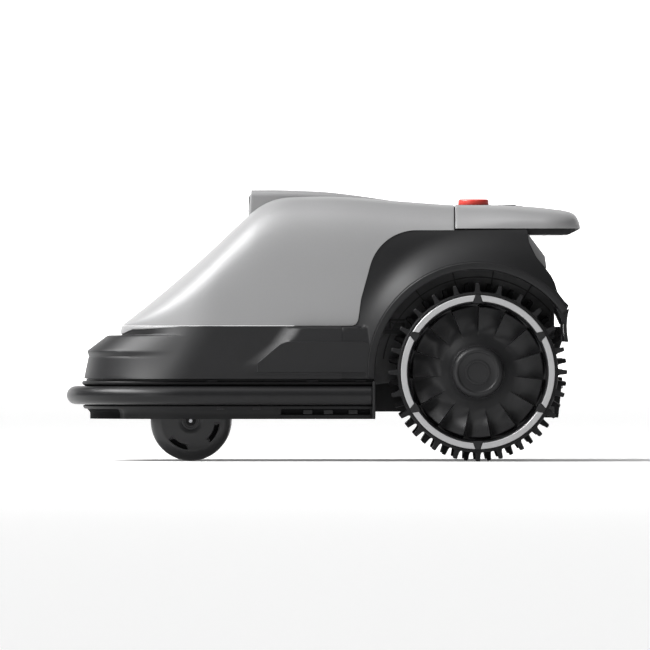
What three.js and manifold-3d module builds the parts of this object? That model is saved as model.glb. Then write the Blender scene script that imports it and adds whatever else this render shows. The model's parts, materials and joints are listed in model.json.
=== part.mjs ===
// Robotic lawn mower: a free-standing assembly of separate pieces, in millimetres.
// Frame: +Z up from the ground, -Y towards the nose, +X towards the machine's left side.
// Origin: on the ground, under the middle of the machine's length and width.

import * as THREE from "three";
import { mergeVertices } from "three/addons/utils/BufferGeometryUtils.js";
import Module from "manifold-3d";

const wasm = await Module();
wasm.setup();

// ---------------------------------------------------------------- driving dimensions

const LENGTH = 603;
const WIDTH = 391;
const GAP = 0.3; // between pieces that touch
const SKIN = 3; // wall of the moulded covers
const NOSE = -LENGTH / 2;
const TAIL = LENGTH / 2;

const DRIVE = { x: 158, y: 180.6, radius: 104.4, half: 34, carcass: 94, lugs: 24 };
const CASTER = { x: 82, y: -175.5, trail: 20, radius: 47.2, half: 17 };
const CUTTER = { y: 8, bladeZ: 75, reach: 101.5, travel: 50, discRadius: 78 };

const BUMPER = { top: 93.5, bottom: 49.5, tubeRadius: 10.6, tubeZ: 77, rear: 60, travel: 8 };
const FRAME_LINE = { half: 171, front: NOSE + 21.5, rx: 119, ry: 119 };

const SKIRT = { bottom: 96.6, top: 158.4, rear: 21.7 };
const SKIRT_LINE = { half: 178, front: -281, rx: 125, ry: 125 };
const HOOD_LINE = { half: 162, front: -237, rx: 100, ry: 115 };
const HOOD_BASE = SKIRT.top + GAP;
const SEAM = 153.6; // where the hood meets the rear deck
const DECK_BASE = 272.5;

const TUB = { floor: 58, wall: 4, rim: 130, half: 158, front: -262, waist: 116, waistY: 57, rear: 262 };
const ARCH = { inner: 120, lip: 129, lipX: 190.5 };
const WELL = { cutter: 112, cutterRoof: 118, caster: 74, casterRoof: 101.5 };
const BUTTON = { y: 177, radius: 18, top: 307.7, travel: 4 };
const KEY = { y: 220, radius: 6.5, pitch: 26, travel: 1.5 };

// ---------------------------------------------------------------- materials

const finish = (color, roughness, metalness = 0) =>
  new THREE.MeshStandardMaterial({ color, roughness, metalness });

const MATERIAL = {
  silver: finish(0x9a9a9c, 0.42, 0.25),
  shell: finish(0x2b2b2c, 0.5),
  chassis: finish(0x1d1d1e, 0.7),
  rubber: finish(0x222223, 0.85),
  wheel: finish(0x262627, 0.5),
  trim: finish(0xacacad, 0.4, 0.3),
  glass: finish(0x08080a, 0.08),
  red: finish(0xc23a30, 0.4),
  key: finish(0x3a3a3b, 0.6),
  steel: finish(0xb8b9bb, 0.3, 1),
  motor: finish(0x6f7072, 0.4, 0.9),
  copper: finish(0xc98f4a, 0.3, 1),
  battery: finish(0x34383c, 0.7),
  board: finish(0x1f4a33, 0.6),
};

// ---------------------------------------------------------------- solids

// A closed geometry as a manifold-3d solid with its faces pointing out.
function toSolid(geometry) {
  const bare = geometry.clone();
  bare.deleteAttribute("normal");
  bare.deleteAttribute("uv");
  const merged = mergeVertices(bare, 1e-3);
  const index = Array.from(merged.index.array);
  const kept = [];
  for (let i = 0; i < index.length; i += 3) {
    const [a, b, c] = index.slice(i, i + 3);
    if (a !== b && b !== c && c !== a) kept.push(a, b, c);
  }
  const build = (triangles) =>
    new wasm.Manifold(
      new wasm.Mesh({
        numProp: 3,
        vertProperties: merged.attributes.position.array,
        triVerts: new Uint32Array(triangles),
      }),
    );
  const solid = build(kept);
  return solid.volume() > 0 ? solid : build(kept.reverse());
}

function toGeometry(solid) {
  const mesh = solid.getMesh();
  const geometry = new THREE.BufferGeometry();
  geometry.setAttribute("position", new THREE.BufferAttribute(mesh.vertProperties, 3));
  geometry.setIndex(new THREE.BufferAttribute(mesh.triVerts, 1));
  geometry.computeVertexNormals();
  return geometry;
}

const join = (...solids) => solids.reduce((whole, piece) => whole.add(piece));
const cut = (body, ...tools) => tools.reduce((rest, tool) => rest.subtract(tool), body);

function box([x0, x1], [y0, y1], [z0, z1]) {
  const geometry = new THREE.BoxGeometry(x1 - x0, y1 - y0, z1 - z0);
  return toSolid(geometry.translate((x0 + x1) / 2, (y0 + y1) / 2, (z0 + z1) / 2));
}

// Upright cylinder, or one along X or Y, from one end to the other.
function rod(radius, [from, to], [a, b], axis = "z", segments = 20) {
  const geometry = new THREE.CylinderGeometry(radius, radius, to - from, segments);
  const middle = (from + to) / 2;
  if (axis === "x") return toSolid(geometry.rotateZ(-Math.PI / 2).translate(middle, a, b));
  if (axis === "y") return toSolid(geometry.translate(a, middle, b));
  return toSolid(geometry.rotateX(Math.PI / 2).translate(a, b, middle));
}

// A plan outline raised from z0 to z1.
function plate(shape, z0, z1, curveSegments = 6) {
  const options = { depth: z1 - z0, bevelEnabled: false, curveSegments };
  return toSolid(new THREE.ExtrudeGeometry(shape, options).translate(0, 0, z0));
}

// A side outline, drawn as (y, z), carried across from x0 to x1.
const ACROSS = new THREE.Matrix4().makeBasis(
  new THREE.Vector3(0, 1, 0),
  new THREE.Vector3(0, 0, 1),
  new THREE.Vector3(1, 0, 0),
);
function slab(shape, x0, x1, curveSegments = 6) {
  const options = { depth: x1 - x0, bevelEnabled: false, curveSegments };
  const geometry = new THREE.ExtrudeGeometry(shape, options).applyMatrix4(ACROSS);
  return toSolid(geometry.translate(x0, 0, 0));
}

function outline(points) {
  return new THREE.Shape(points.map(([a, b]) => new THREE.Vector2(a, b)));
}

// A closed (radius, along) profile turned about X or Z.
function turn(profile, axis, segments = 20) {
  const points = [...profile, profile[0]].map(([r, along]) => new THREE.Vector2(r, along));
  const geometry = new THREE.LatheGeometry(points, segments);
  return toSolid(axis === "x" ? geometry.rotateZ(-Math.PI / 2) : geometry.rotateX(Math.PI / 2));
}

// A wall between two grids of points with equal rows and columns.
function shell(outer, inner) {
  const rows = outer.length;
  const columns = outer[0].length;
  const positions = [...outer, ...inner].flat(2);
  const index = [];
  const at = (side, row, column) => (side * rows + row) * columns + column;
  const quad = (a, b, c, d) => index.push(a, b, c, a, c, d);
  for (let r = 0; r + 1 < rows; r++) {
    for (let c = 0; c + 1 < columns; c++) {
      quad(at(0, r, c), at(0, r, c + 1), at(0, r + 1, c + 1), at(0, r + 1, c));
      quad(at(1, r, c), at(1, r + 1, c), at(1, r + 1, c + 1), at(1, r, c + 1));
    }
    quad(at(0, r, 0), at(0, r + 1, 0), at(1, r + 1, 0), at(1, r, 0));
    const last = columns - 1;
    quad(at(0, r + 1, last), at(0, r, last), at(1, r, last), at(1, r + 1, last));
  }
  for (let c = 0; c + 1 < columns; c++) {
    quad(at(0, 0, c + 1), at(0, 0, c), at(1, 0, c), at(1, 0, c + 1));
    const end = rows - 1;
    quad(at(0, end, c), at(0, end, c + 1), at(1, end, c + 1), at(1, end, c));
  }
  const geometry = new THREE.BufferGeometry();
  geometry.setAttribute("position", new THREE.Float32BufferAttribute(positions, 3));
  geometry.setIndex(index);
  return toSolid(geometry);
}

// ---------------------------------------------------------------- lines that the covers share

const clamp = THREE.MathUtils.clamp;
const smooth = THREE.MathUtils.smoothstep;
const lerp = THREE.MathUtils.lerp;

// A smooth height over a few (position, height) points.
function heightOver(points) {
  const curve = new THREE.SplineCurve(points.map(([a, b]) => new THREE.Vector2(a, b)));
  return (position) => {
    let low = 0;
    let high = 1;
    for (let i = 0; i < 30; i++) {
      const middle = (low + high) / 2;
      if (curve.getPoint(middle).x < position) low = middle;
      else high = middle;
    }
    return curve.getPoint(low).y;
  };
}

const hoodTop = heightOver([
  [HOOD_LINE.front, HOOD_BASE], [-190, 196.5], [-140, 239.5], [-100, 277], [-76, 297.5],
  [-52, 308], [-20, 310.4], [25, 310.2], [90, 305], [SEAM, 300.6], [200, 300.8],
]);
const deckTop = heightOver([
  [120, 303.4], [SEAM, 300.6], [200, 300.8], [245, 298.6], [275, 295.4], [289, 292.8],
  [296, 288.8], [300.2, 281.5], [TAIL, DECK_BASE],
]);
const cameraTop = heightOver([[-84, 318.5], [-47, 318.4], [0, 316.4], [40, 312], [92, 304.4]]);

// Half the width of a plan line at a station y.
function halfWidth(line, y) {
  const t = clamp((y - line.front) / line.ry, 0, 1);
  return line.half - line.rx + line.rx * Math.sqrt(1 - (1 - t) ** 2);
}

// Half of a rounded section from the base up to the crown and down again.
function archPoints({ half, base, top, power, from = base, columns }) {
  const height = Math.max(top - base, 0);
  const share = height > 0 ? clamp((from - base) / height, 0, 1) : 0;
  const start = Math.asin(share ** (power / 2));
  return Array.from({ length: columns + 1 }, (_, i) => {
    const angle = lerp(start, Math.PI - start, i / columns);
    const x = Math.sign(Math.cos(angle)) * Math.abs(Math.cos(angle)) ** (2 / power);
    return [half * x, base + height * Math.sin(angle) ** (2 / power)];
  });
}

const hoodPower = (y) => lerp(3, 5.2, smooth(y, -215, -70));

function hoodSection(y, skin, columns, from = HOOD_BASE) {
  const lean = 1 / Math.cos(Math.atan(0.86)) - 1;
  const drop = skin * (1 + lean * (1 - smooth(y, -110, -50)));
  return archPoints({
    half: halfWidth(HOOD_LINE, y) - skin,
    base: HOOD_BASE,
    top: Math.max(hoodTop(y) - drop, HOOD_BASE),
    power: hoodPower(y),
    from,
    columns,
  });
}

function deckSection(y, skin, columns) {
  const corner = clamp((y - (TAIL - 45)) / 45, 0, 1);
  const half = 106 + 45 * Math.sqrt(1 - corner ** 2) - skin;
  const top = Math.max(deckTop(y) - skin, DECK_BASE);
  const own = archPoints({ half, base: DECK_BASE, top, power: 3, columns });
  const forward = hoodSection(Math.min(y, SEAM), skin, columns, DECK_BASE);
  const share = smooth(y, SEAM, SEAM + 90);
  return own.map(([x, z], i) => [lerp(forward[i][0], x, share), lerp(forward[i][1], z, share)]);
}

// Points and outward directions along a U: left rear end, round the nose, right rear end.
function noseLine(line, rear, sideSteps = 2, cornerSteps = 6) {
  const side = [];
  const cornerX = line.half - line.rx;
  const cornerY = line.front + line.ry;
  for (let i = 0; i < sideSteps; i++) {
    side.push({ x: line.half, y: lerp(rear, cornerY, i / sideSteps), nx: 1, ny: 0 });
  }
  for (let i = 0; i <= cornerSteps; i++) {
    const angle = (Math.PI / 2) * (i / cornerSteps);
    side.push({
      x: cornerX + line.rx * Math.cos(angle),
      y: cornerY - line.ry * Math.sin(angle),
      nx: Math.cos(angle),
      ny: -Math.sin(angle),
    });
  }
  const mirrored = side.map((p) => ({ ...p, x: -p.x, nx: -p.nx })).reverse();
  return [...side, ...mirrored];
}

function noseShape(line, rear) {
  const points = noseLine(line, rear, 1, 6);
  return outline(points.map((p) => [p.x, p.y]));
}

// Lower edge of the hood at the side: sill, then up and over the wheel arch.
const COVER_EDGE = { y: 109, z: 214.4, radius: 56, end: (165 * Math.PI) / 180 };

function coverEdge(shape, inset) {
  const { y, z, radius, end } = COVER_EDGE;
  const r = radius - inset;
  const foot = [y + r * Math.cos(end), z + r * Math.sin(end)];
  const drop = foot[1] - (HOOD_BASE - inset);
  const sill = [foot[0] - drop / Math.tan(end - Math.PI / 2), HOOD_BASE - inset];
  shape.lineTo(sill[0], sill[1]);
  shape.lineTo(foot[0], foot[1]);
  shape.absarc(y, z, r, end, Math.PI / 2, true);
}

// ---------------------------------------------------------------- covers

function topCover() {
  const stations = [
    HOOD_LINE.front, -230, -212, -184, -150, -112, -90, -72, -52, -20, 50, SEAM,
  ];
  const columns = 14;
  const nose = 4.7; // how far the inside starts behind the nose
  const rows = (skin) =>
    stations.map((y) => {
      const back = skin ? y + nose * (1 - smooth(y, HOOD_LINE.front, -150)) : y;
      return hoodSection(back, skin, columns).map(([x, z]) => [x, back, z]);
    });
  const whole = shell(rows(0), rows(SKIN));
  const below = new THREE.Shape();
  below.moveTo(SEAM + 10, HOOD_BASE - 20);
  below.lineTo(36, HOOD_BASE - 20);
  coverEdge(below, 0);
  below.lineTo(SEAM + 10, COVER_EDGE.z + COVER_EDGE.radius);
  const cameraHole = box([-53, 53], [-84, -30], [280, 320]);
  return cut(whole, slab(below, -200, 200), cameraHole);
}

function rearDeck() {
  const stations = [SEAM + 1, 200, 245, 265, 281, 291, 297.5, 300.6, TAIL];
  const columns = 14;
  const rows = (skin) =>
    stations.map((y) => {
      const front = skin ? Math.min(y, TAIL - 4) - 4 * smooth(y, 262, 298) + 2 : y;
      const at = skin ? Math.max(Math.min(front, y), SEAM + 1) : y;
      return deckSection(at, skin, columns).map(([x, z]) => [x, at, z]);
    });
  const whole = shell(rows(0), rows(SKIN));
  const buttonHole = rod(BUTTON.radius + 2, [290, 310], [0, BUTTON.y], "z", 16);
  return cut(whole, buttonHole, box([-42, 42], [KEY.y - 15, KEY.y + 15], [285, 310]));
}

function skirtRows(profile) {
  const outer = noseLine(SKIRT_LINE, SKIRT.rear);
  const inner = noseLine(HOOD_LINE, SKIRT.rear);
  return outer.map((o, i) => {
    const sideways = smooth(o.y, -235, -120);
    return profile.map(([share, z, inwards]) => {
      const level = (z - SKIRT.bottom) / (SKIRT.top - SKIRT.bottom);
      const t = lerp(share, level, sideways);
      return [
        lerp(o.x, inner[i].x, t) - o.nx * inwards,
        lerp(o.y, inner[i].y, t) - o.ny * inwards,
        z,
      ];
    });
  });
}

function frontSkirt() {
  const face = [
    [0, SKIRT.bottom, 0], [0.11, 122, 0], [0.08, 126.6, 0], [0.08, 129, 0],
    [0.62, 147.2, 0], [0.9, 147.6, 0], [0.98, 153.4, 0], [1, SKIRT.top, 0],
  ];
  const back = [
    [0, SKIRT.bottom, SKIN], [0.11, 120.5, SKIN], [0.1, 124, SKIN], [0.12, 126.5, SKIN],
    [0.62, 143.6, SKIN], [0.9, 144.2, SKIN], [0.98, 150, SKIN], [1, SKIRT.top, SKIN],
  ];
  return shell(skirtRows(face), skirtRows(back));
}

// Fender over the left wheel, with the flat side plate in front of the arch.
function fender() {
  const flare = (r, z) => {
    const fade = clamp((r - ARCH.lip) / 38, 0, 1);
    const lean = clamp((z - HOOD_BASE) / (hoodTop(SEAM) - HOOD_BASE), 0, 0.82);
    const flush = (HOOD_LINE.half + 0.5) * (1 - lean ** 5.2) ** (1 / 5.2);
    return lerp(flush, ARCH.lipX, (1 - fade) ** 2.2);
  };
  const radii = [116, ARCH.lip, 137, 148, 166, 200];
  const steps = 12;
  const rows = (skin) =>
    Array.from({ length: steps + 1 }, (_, i) => {
      const angle = THREE.MathUtils.degToRad(lerp(28, 192, i / steps));
      return radii.map((r) => {
        const z = DRIVE.radius + r * Math.sin(angle);
        return [flare(r, z) - skin, DRIVE.y + r * Math.cos(angle), z];
      });
    });
  const sheet = shell(rows(0), rows(SKIN));

  const side = new THREE.Shape();
  side.moveTo(DRIVE.y - ARCH.inner, SKIRT.bottom);
  side.lineTo(22, SKIRT.bottom);
  side.lineTo(22, HOOD_BASE - 1);
  coverEdge(side, 1);
  side.lineTo(238.4, 271.4);
  side.lineTo(240.6, 256.3);
  side.lineTo(249.5, 238.4);
  side.lineTo(266.3, 217.2);
  side.lineTo(273.6, 198.2);
  side.lineTo(288.7, 180.3);
  const tip = Math.atan2(175.3 - DRIVE.radius, 281.4 - DRIVE.y);
  side.absarc(DRIVE.y, DRIVE.radius, ARCH.inner, tip, Math.PI, false);
  const skin = sheet.intersect(slab(side, 140, 200, 10));

  const plateX = 180.5;
  const plateLine = [
    [-77, SKIRT.bottom], [-77, 115], [-50.6, 137], [-42, 140], [40, 140],
    [DRIVE.y - ARCH.inner, 134], [DRIVE.y - ARCH.inner, SKIRT.bottom],
  ];
  const pocketLine = [
    [-70, SKIRT.bottom - 1], [-70, 112], [-48, 133.5], [-41, 136.8], [39, 136.8],
    [DRIVE.y - ARCH.inner - SKIN, 131], [DRIVE.y - ARCH.inner - SKIN, SKIRT.bottom - 1],
  ];
  const skirtSide = new THREE.ExtrudeGeometry(
    outline([[150, 80], [182.6, 80], [SKIRT_LINE.half + GAP, SKIRT.bottom], [HOOD_LINE.half + GAP, SKIRT.top], [150, 170]]),
    { depth: 112, bevelEnabled: false },
  ).rotateX(Math.PI / 2).translate(0, 22, 0);
  const panel = cut(
    slab(outline(plateLine), 162, plateX),
    slab(outline(pocketLine), 150, plateX - SKIN),
    toSolid(skirtSide),
  );

  const lining = new THREE.Shape();
  lining.absarc(DRIVE.y, DRIVE.radius, ARCH.inner + SKIN, tip, Math.PI, false);
  lining.absarc(DRIVE.y, DRIVE.radius, ARCH.inner, Math.PI, tip, true);
  const roof = slab(lining, TUB.waist + GAP, ARCH.lipX - 1, 10);
  const heel = outline([
    [238.4, 265], [240.6, 256.3], [249.5, 238.4], [266.3, 217.2], [273.6, 198.2], [285, 184],
    [280, 184], [270.4, 197.2], [263.5, 215.6], [246.6, 237], [237.6, 255.4], [235.4, 265],
  ]);
  return join(skin, panel, roof, slab(heel, TUB.waist + GAP, 153));
}

function handleBase() {
  const bottom = 265.6;
  const top = 272;
  const half = 142;
  const tail = TAIL - 1.5;
  const corner = 42;
  const line = new THREE.Shape();
  line.moveTo(half, SEAM + 4);
  line.lineTo(half, tail - corner);
  line.quadraticCurveTo(half, tail, half - corner, tail);
  line.lineTo(corner - half, tail);
  line.quadraticCurveTo(-half, tail, -half, tail - corner);
  line.lineTo(-half, SEAM + 4);
  const chamfer = outline([[tail - 12, bottom], [tail + 1, top], [tail + 1, bottom - 1], [tail - 12, bottom - 1]]);
  const grip = new THREE.Shape();
  grip.absarc(48, 275, 8, -Math.PI / 2, Math.PI / 2, false);
  grip.absarc(-48, 275, 8, Math.PI / 2, (3 * Math.PI) / 2, false);
  return cut(plate(line, bottom, top, 6), plate(grip, bottom - 1, top + 1, 6), slab(chamfer, -half, half));
}

function rearPanel() {
  const face = [
    [240, 265], [259, 240], [261, 226], [264.5, 200], [266, 152], [262.6, 152],
    [261.2, 200], [257.8, 225.4], [256, 239], [237.6, 263.4], [237.6, 265],
  ];
  return slab(outline(face), -TUB.waist, TUB.waist);
}

// ---------------------------------------------------------------- camera

const CAMERA = { half: 60, front: -88 };

// Everything below the hood's outer face, over the camera's area.
function hoodFill(lift) {
  const stations = [-125, -100, -84, -70, -54, -36, -8, 40, 110];
  const face = [[-125, 150], ...stations.map((y) => [y, hoodTop(y) + lift]), [110, 150]];
  return slab(outline(face), -90, 90);
}

function cameraHousing() {
  const top = [-70, -47, -10, 20, 45, 70, 88];
  const face = [
    [CAMERA.front, 280], [CAMERA.front + 3.5, 315.5], [CAMERA.front + 6, 318.2],
    ...top.map((y) => [y, cameraTop(y)]), [90, 280],
  ];
  const block = slab(outline(face), -CAMERA.half, CAMERA.half);
  const pocket = box([-52, 52], [CAMERA.front - 5, CAMERA.front + 10], [291.5, 313.5]);
  const ceiling = [-74, -47, -10, 20].map((y) => [y, cameraTop(y) - SKIN]);
  const hollow = outline([[-74, 280], ...ceiling, [20, 280]]);
  return cut(block, hoodFill(GAP), pocket, slab(hollow, SKIN - CAMERA.half, CAMERA.half - SKIN));
}

function cameraWindow() {
  const face = [[-85.6, 291.8], [-83.6, 313.2], [-80, 313.2], [-80, 291.8]];
  const eyes = [-28, 28].map((x) => rod(9.4, [-90, -70], [x, 302.5], "y", 16));
  return cut(slab(outline(face), -51.7, 51.7), ...eyes);
}

function cameraLens() {
  return turn([[0, 78.5], [9, 78.5], [9, 85.4], [6, 87], [0, 87]], "z", 16).rotate([90, 0, 0]);
}

// ---------------------------------------------------------------- controls

function keypadPanel() {
  const tray = box([-48, 48], [157, KEY.y + 20], [290, 293]);
  const island = box([-41.5, 41.5], [KEY.y - 14.5, KEY.y + 14.5], [292, 300.2]);
  const guide = rod(13, [278, 293.5], [0, BUTTON.y], "z", 16);
  const keyHoles = [-1, 0, 1].map((i) =>
    rod(KEY.radius + GAP, [294.5, 305], [i * KEY.pitch, KEY.y], "z", 14),
  );
  const stem = rod(8 + GAP, [270, 300], [0, BUTTON.y], "z", 16);
  return cut(join(tray, island, guide), ...keyHoles, stem);
}

function stopButton() {
  return turn(
    [
      [0, 280], [8, 280], [8, 299], [BUTTON.radius, 299], [BUTTON.radius, 304],
      [BUTTON.radius - 2, BUTTON.top], [0, BUTTON.top],
    ],
    "z",
    16,
  );
}

const keyCap = () => turn([[0, 296.3], [KEY.radius, 296.3], [KEY.radius, 300.8], [5.5, 301.6], [0, 301.6]], "z", 14);

// ---------------------------------------------------------------- chassis

function chassisTub() {
  const { floor, wall, rim, waist, waistY, rear } = TUB;
  const line = { half: TUB.half, front: TUB.front, rx: 100, ry: 100 };
  const lineIn = { half: TUB.half - wall, front: TUB.front + wall, rx: 96, ry: 96 };
  const tray = cut(
    plate(noseShape(line, waistY), floor, rim),
    plate(noseShape(lineIn, waistY - wall), floor + wall, rim + 1),
  );
  const tail = cut(
    box([-waist, waist], [waistY - 8, rear], [floor, rim]),
    box([-waist + wall, waist - wall], [waistY - 20, rear - wall], [floor + wall, rim + 1]),
  );
  const rearWall = box([-waist, waist], [rear - wall, rear], [rim - 1, 151.7]);
  const passage = box([-waist + wall, waist - wall], [waistY - 20, waistY + 4], [floor + wall, rim + 1]);
  const cheekLine = outline([[waistY, rim - 1], [waistY, 265], [236, 265], [255.4, 239], [257, 225], [rear - 2, rim - 1]]);
  const cheeks = [-waist, waist - wall].map((x) => slab(cheekLine, x, x + wall));
  const heelLine = outline([[rear - 2, 98], [280.5, 98], [275.6, 51], [rear - 2, 51]]);
  const heelHollow = outline([[rear, 95], [277.2, 95], [273, 50], [rear, 50]]);
  const heel = cut(slab(heelLine, -110, 110), slab(heelHollow, -107, 107));

  const cutterWall = rod(WELL.cutter + wall, [floor, WELL.cutterRoof + wall], [0, CUTTER.y], "z", 24);
  const cutterVoid = rod(WELL.cutter, [floor - 8, WELL.cutterRoof], [0, CUTTER.y], "z", 24);
  const column = rod(46, [WELL.cutterRoof - 1, 140], [0, CUTTER.y]);
  const wells = [-1, 1].map((s) => rod(WELL.caster + wall, [floor, WELL.casterRoof + wall], [s * CASTER.x, CASTER.y], "z", 16));
  const voids = [-1, 1].map((s) => rod(WELL.caster, [floor - 8, WELL.casterRoof], [s * CASTER.x, CASTER.y], "z", 16));
  const stems = [-1, 1].map((s) => rod(13 + GAP, [90, 120], [s * CASTER.x, CASTER.y]));
  const axles = rod(19 + GAP, [-130, 130], [DRIVE.y, DRIVE.radius], "x");
  const inside = plate(noseShape(line, waistY), floor, rim);

  const ledge = { half: TUB.half + 1.4, front: TUB.front + 30, rx: 98, ry: 98 };
  const posts = [[-50, 92], [50, 92], [-50, 246], [50, 246]].map(([x, y]) => rod(6, [floor, 134], [x, y], "z", 8));
  const rodSeats = [-1, 1].map((s) => rod(9, [WELL.cutterRoof, 128], [s * 66, CUTTER.y], "z", 12));
  const rodHoles = [-1, 1].map((s) => rod(5 + GAP, [122, 130], [s * 66, CUTTER.y], "z", 12));
  const pinHoles = [-1, 1].map((s) => rod(4.5, [TUB.front - 5, TUB.front + 12], [s * 30, BUMPER.tubeZ], "y", 12));
  const ears = [-1, 1].map((s) => box(s > 0 ? [TUB.half - 1, 165] : [-165, 1 - TUB.half], [30, 40], [68, 84]));
  const earHoles = [-1, 1].map((s) => rod(3.4, [25, 45], [s * 161.5, 76], "y", 12));

  let tub = join(tray, tail);
  tub = cut(tub, passage);
  tub = join(tub, ...cheeks, rearWall, heel, cutterWall, ...wells.map((w) => w.intersect(inside)), ...posts);
  tub = join(tub, ...rodSeats, ...ears);
  tub = cut(tub, cutterVoid, column, ...voids, ...stems, axles, ...rodHoles, ...pinHoles, ...earHoles);
  return tub;
}

const casterBush = () => turn(
  [[8 + GAP, 100.7], [13, 100.7], [13, 105.8], [18, 105.8], [18, 128], [8 + GAP, 128]], "z", 16);

function gearbox() {
  return turn(
    [[0, 74], [40, 74], [40, 111.6], [19, 111.6], [19, 121], [8 + GAP, 121], [8 + GAP, 96], [0, 96]],
    "x",
  );
}

const driveMotor = () => turn([[0, 22], [19, 22], [21, 25], [21, 73.6], [0, 73.6]], "x", 16);

function batteryPack() {
  return box([-60, 60], [-216, -128], [WELL.casterRoof + TUB.wall + GAP, 158]);
}

const controlBoard = () => box([-64, 64], [84, 254], [134.3, 152]);

function mudFlap() {
  const line = new THREE.Shape();
  line.moveTo(287.4, 178.4);
  line.bezierCurveTo(284.6, 168, 283.2, 158, 286.4, 139.6);
  line.lineTo(282.8, 139.6);
  line.bezierCurveTo(280.4, 158, 281, 166, 283, 175.4);
  return slab(line, 124, 187, 5);
}

function chargeContact() {
  return box([8, 22], [-262, -236], [56.5, 57.7]);
}

// ---------------------------------------------------------------- bumper

function bumperFrame() {
  const rows = (profile) =>
    noseLine(FRAME_LINE, BUMPER.rear - 2).map((p) =>
      profile.map(([out, z]) => [p.x + p.nx * out, p.y + p.ny * out, z]),
    );
  const face = [[-3, BUMPER.bottom], [-3, 57.5], [2.5, 64], [0, 66.1], [0, 88], [3.5, 90], [3.5, BUMPER.top]];
  const back = [[-7.5, BUMPER.bottom], [-7.5, 57.5], [-4.5, 63], [-4.5, 68], [-4.5, 78], [-4.5, 88], [-4.5, BUMPER.top]];
  const wall = shell(rows(face), rows(back));
  const ends = [[-193, -158.5], [158.5, 193]].map((x) => box(x, [BUMPER.rear - 2.5, BUMPER.rear + 1], [BUMPER.bottom, BUMPER.top]));
  const rearPins = [-1, 1].map((s) => rod(3, [20, BUMPER.rear - 1], [s * 161.5, 76], "y", 12));
  const frontPins = [-1, 1].map((s) => rod(4, [FRAME_LINE.front + 2, TUB.front + 18], [s * 30, BUMPER.tubeZ], "y", 12));
  const notch = box([-36, 36], [NOSE, -260], [40, 61]);
  return cut(join(wall, ...ends, ...rearPins, ...frontPins), notch);
}

function bumperTube() {
  const out = BUMPER.tubeRadius + GAP;
  const line = noseLine(FRAME_LINE, BUMPER.rear - 2.5 - GAP);
  const sides = 10;
  const loops = line.map((p) =>
    Array.from({ length: sides }, (_, i) => {
      const angle = (2 * Math.PI * i) / sides;
      const reach = out + BUMPER.tubeRadius * Math.cos(angle);
      return [p.x + p.nx * reach, p.y + p.ny * reach, BUMPER.tubeZ + BUMPER.tubeRadius * Math.sin(angle)];
    }),
  );
  const index = [];
  const at = (loop, i) => loop * sides + (i % sides);
  for (let loop = 0; loop + 1 < loops.length; loop++) {
    for (let i = 0; i < sides; i++) {
      index.push(at(loop, i), at(loop, i + 1), at(loop + 1, i + 1));
      index.push(at(loop, i), at(loop + 1, i + 1), at(loop + 1, i));
    }
  }
  const end = loops.length - 1;
  for (let i = 1; i + 1 < sides; i++) {
    index.push(at(0, 0), at(0, i + 1), at(0, i));
    index.push(at(end, 0), at(end, i), at(end, i + 1));
  }
  const geometry = new THREE.BufferGeometry();
  geometry.setAttribute("position", new THREE.Float32BufferAttribute(loops.flat(2), 3));
  geometry.setIndex(index);
  return toSolid(geometry);
}

// ---------------------------------------------------------------- drive wheel, axle along X

function tyre() {
  const step = (2 * Math.PI) / DRIVE.lugs;
  const polar = (r, angle) => new THREE.Vector2(r * Math.cos(angle), r * Math.sin(angle));
  const treadRow = (shift, x0, x1) => {
    const points = [];
    for (let i = 0; i < DRIVE.lugs; i++) {
      const middle = (i + shift) * step;
      const foot = 3.6 / DRIVE.carcass;
      const crest = 2 / DRIVE.radius;
      points.push(polar(DRIVE.carcass, middle - foot), polar(DRIVE.radius, middle - crest));
      points.push(polar(DRIVE.radius, middle + crest), polar(DRIVE.carcass, middle + foot));
    }
    const shape = new THREE.Shape(points);
    const hole = new THREE.Path();
    hole.absarc(0, 0, 88 + GAP, 0, 2 * Math.PI, true);
    shape.holes.push(hole);
    return slab(shape, x0, x1, DRIVE.lugs / 2);
  };
  const { half } = DRIVE;
  const lip = turn([[90 + GAP, half - 3.4], [93.6, half - 3.4], [93.6, half], [90 + GAP, half]], "x", DRIVE.lugs);
  return join(treadRow(0, 0, half - 3), treadRow(0.5, 3 - half, 0.01), lip);
}

// Six keystones divide the trim ring; they stand on the rim's flange.
const KEYSTONES = Array.from({ length: 6 }, (_, i) => Math.PI / 6 + (i * Math.PI) / 3);

function keystone(angle, grow, x0, x1) {
  const points = [[78, 5.4], [90.5, 2.6], [90.5, -2.6], [78, -5.4]].map(([r, across]) => {
    const wide = across + Math.sign(across) * grow;
    return [
      r * Math.cos(angle) - wide * Math.sin(angle),
      r * Math.sin(angle) + wide * Math.cos(angle),
    ];
  });
  return slab(outline(points), x0, x1);
}

function rim() {
  const { half } = DRIVE;
  const dish = turn(
    [
      [88, 3 - half], [88, half - 2.7], [90, half - 2.7], [90, half], [81.5, half], [79, 31], [70, 17], [56, 9.5],
      [41, 10], [34, 19], [31, 26], [8 + GAP, 26], [8 + GAP, -22], [16, -22], [16, 3], [34, 5],
      [56, 6], [72, 13.4], [84.6, 29], [84.6, 3 - half],
    ],
    "x",
    DRIVE.lugs,
  );
  const stones = KEYSTONES.map((angle) =>
    join(
      keystone(angle, 0, half + 1.3, half + 2.4),
      keystone(angle, 0, half - 1, half + 2).intersect(turn([[0, half - 2], [82.4, half - 2], [82.4, half + 2.4], [0, half + 2.4]], "x", DRIVE.lugs)),
    ),
  );
  return join(dish, ...stones);
}

function trimRing() {
  const { half } = DRIVE;
  const ring = turn([[82.8, half + GAP], [89.8, half + GAP], [89.8, half + 2], [82.8, half + 2]], "x", DRIVE.lugs);
  return cut(ring, ...KEYSTONES.map((angle) => keystone(angle, GAP, half + 1, half + 4)));
}

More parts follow.
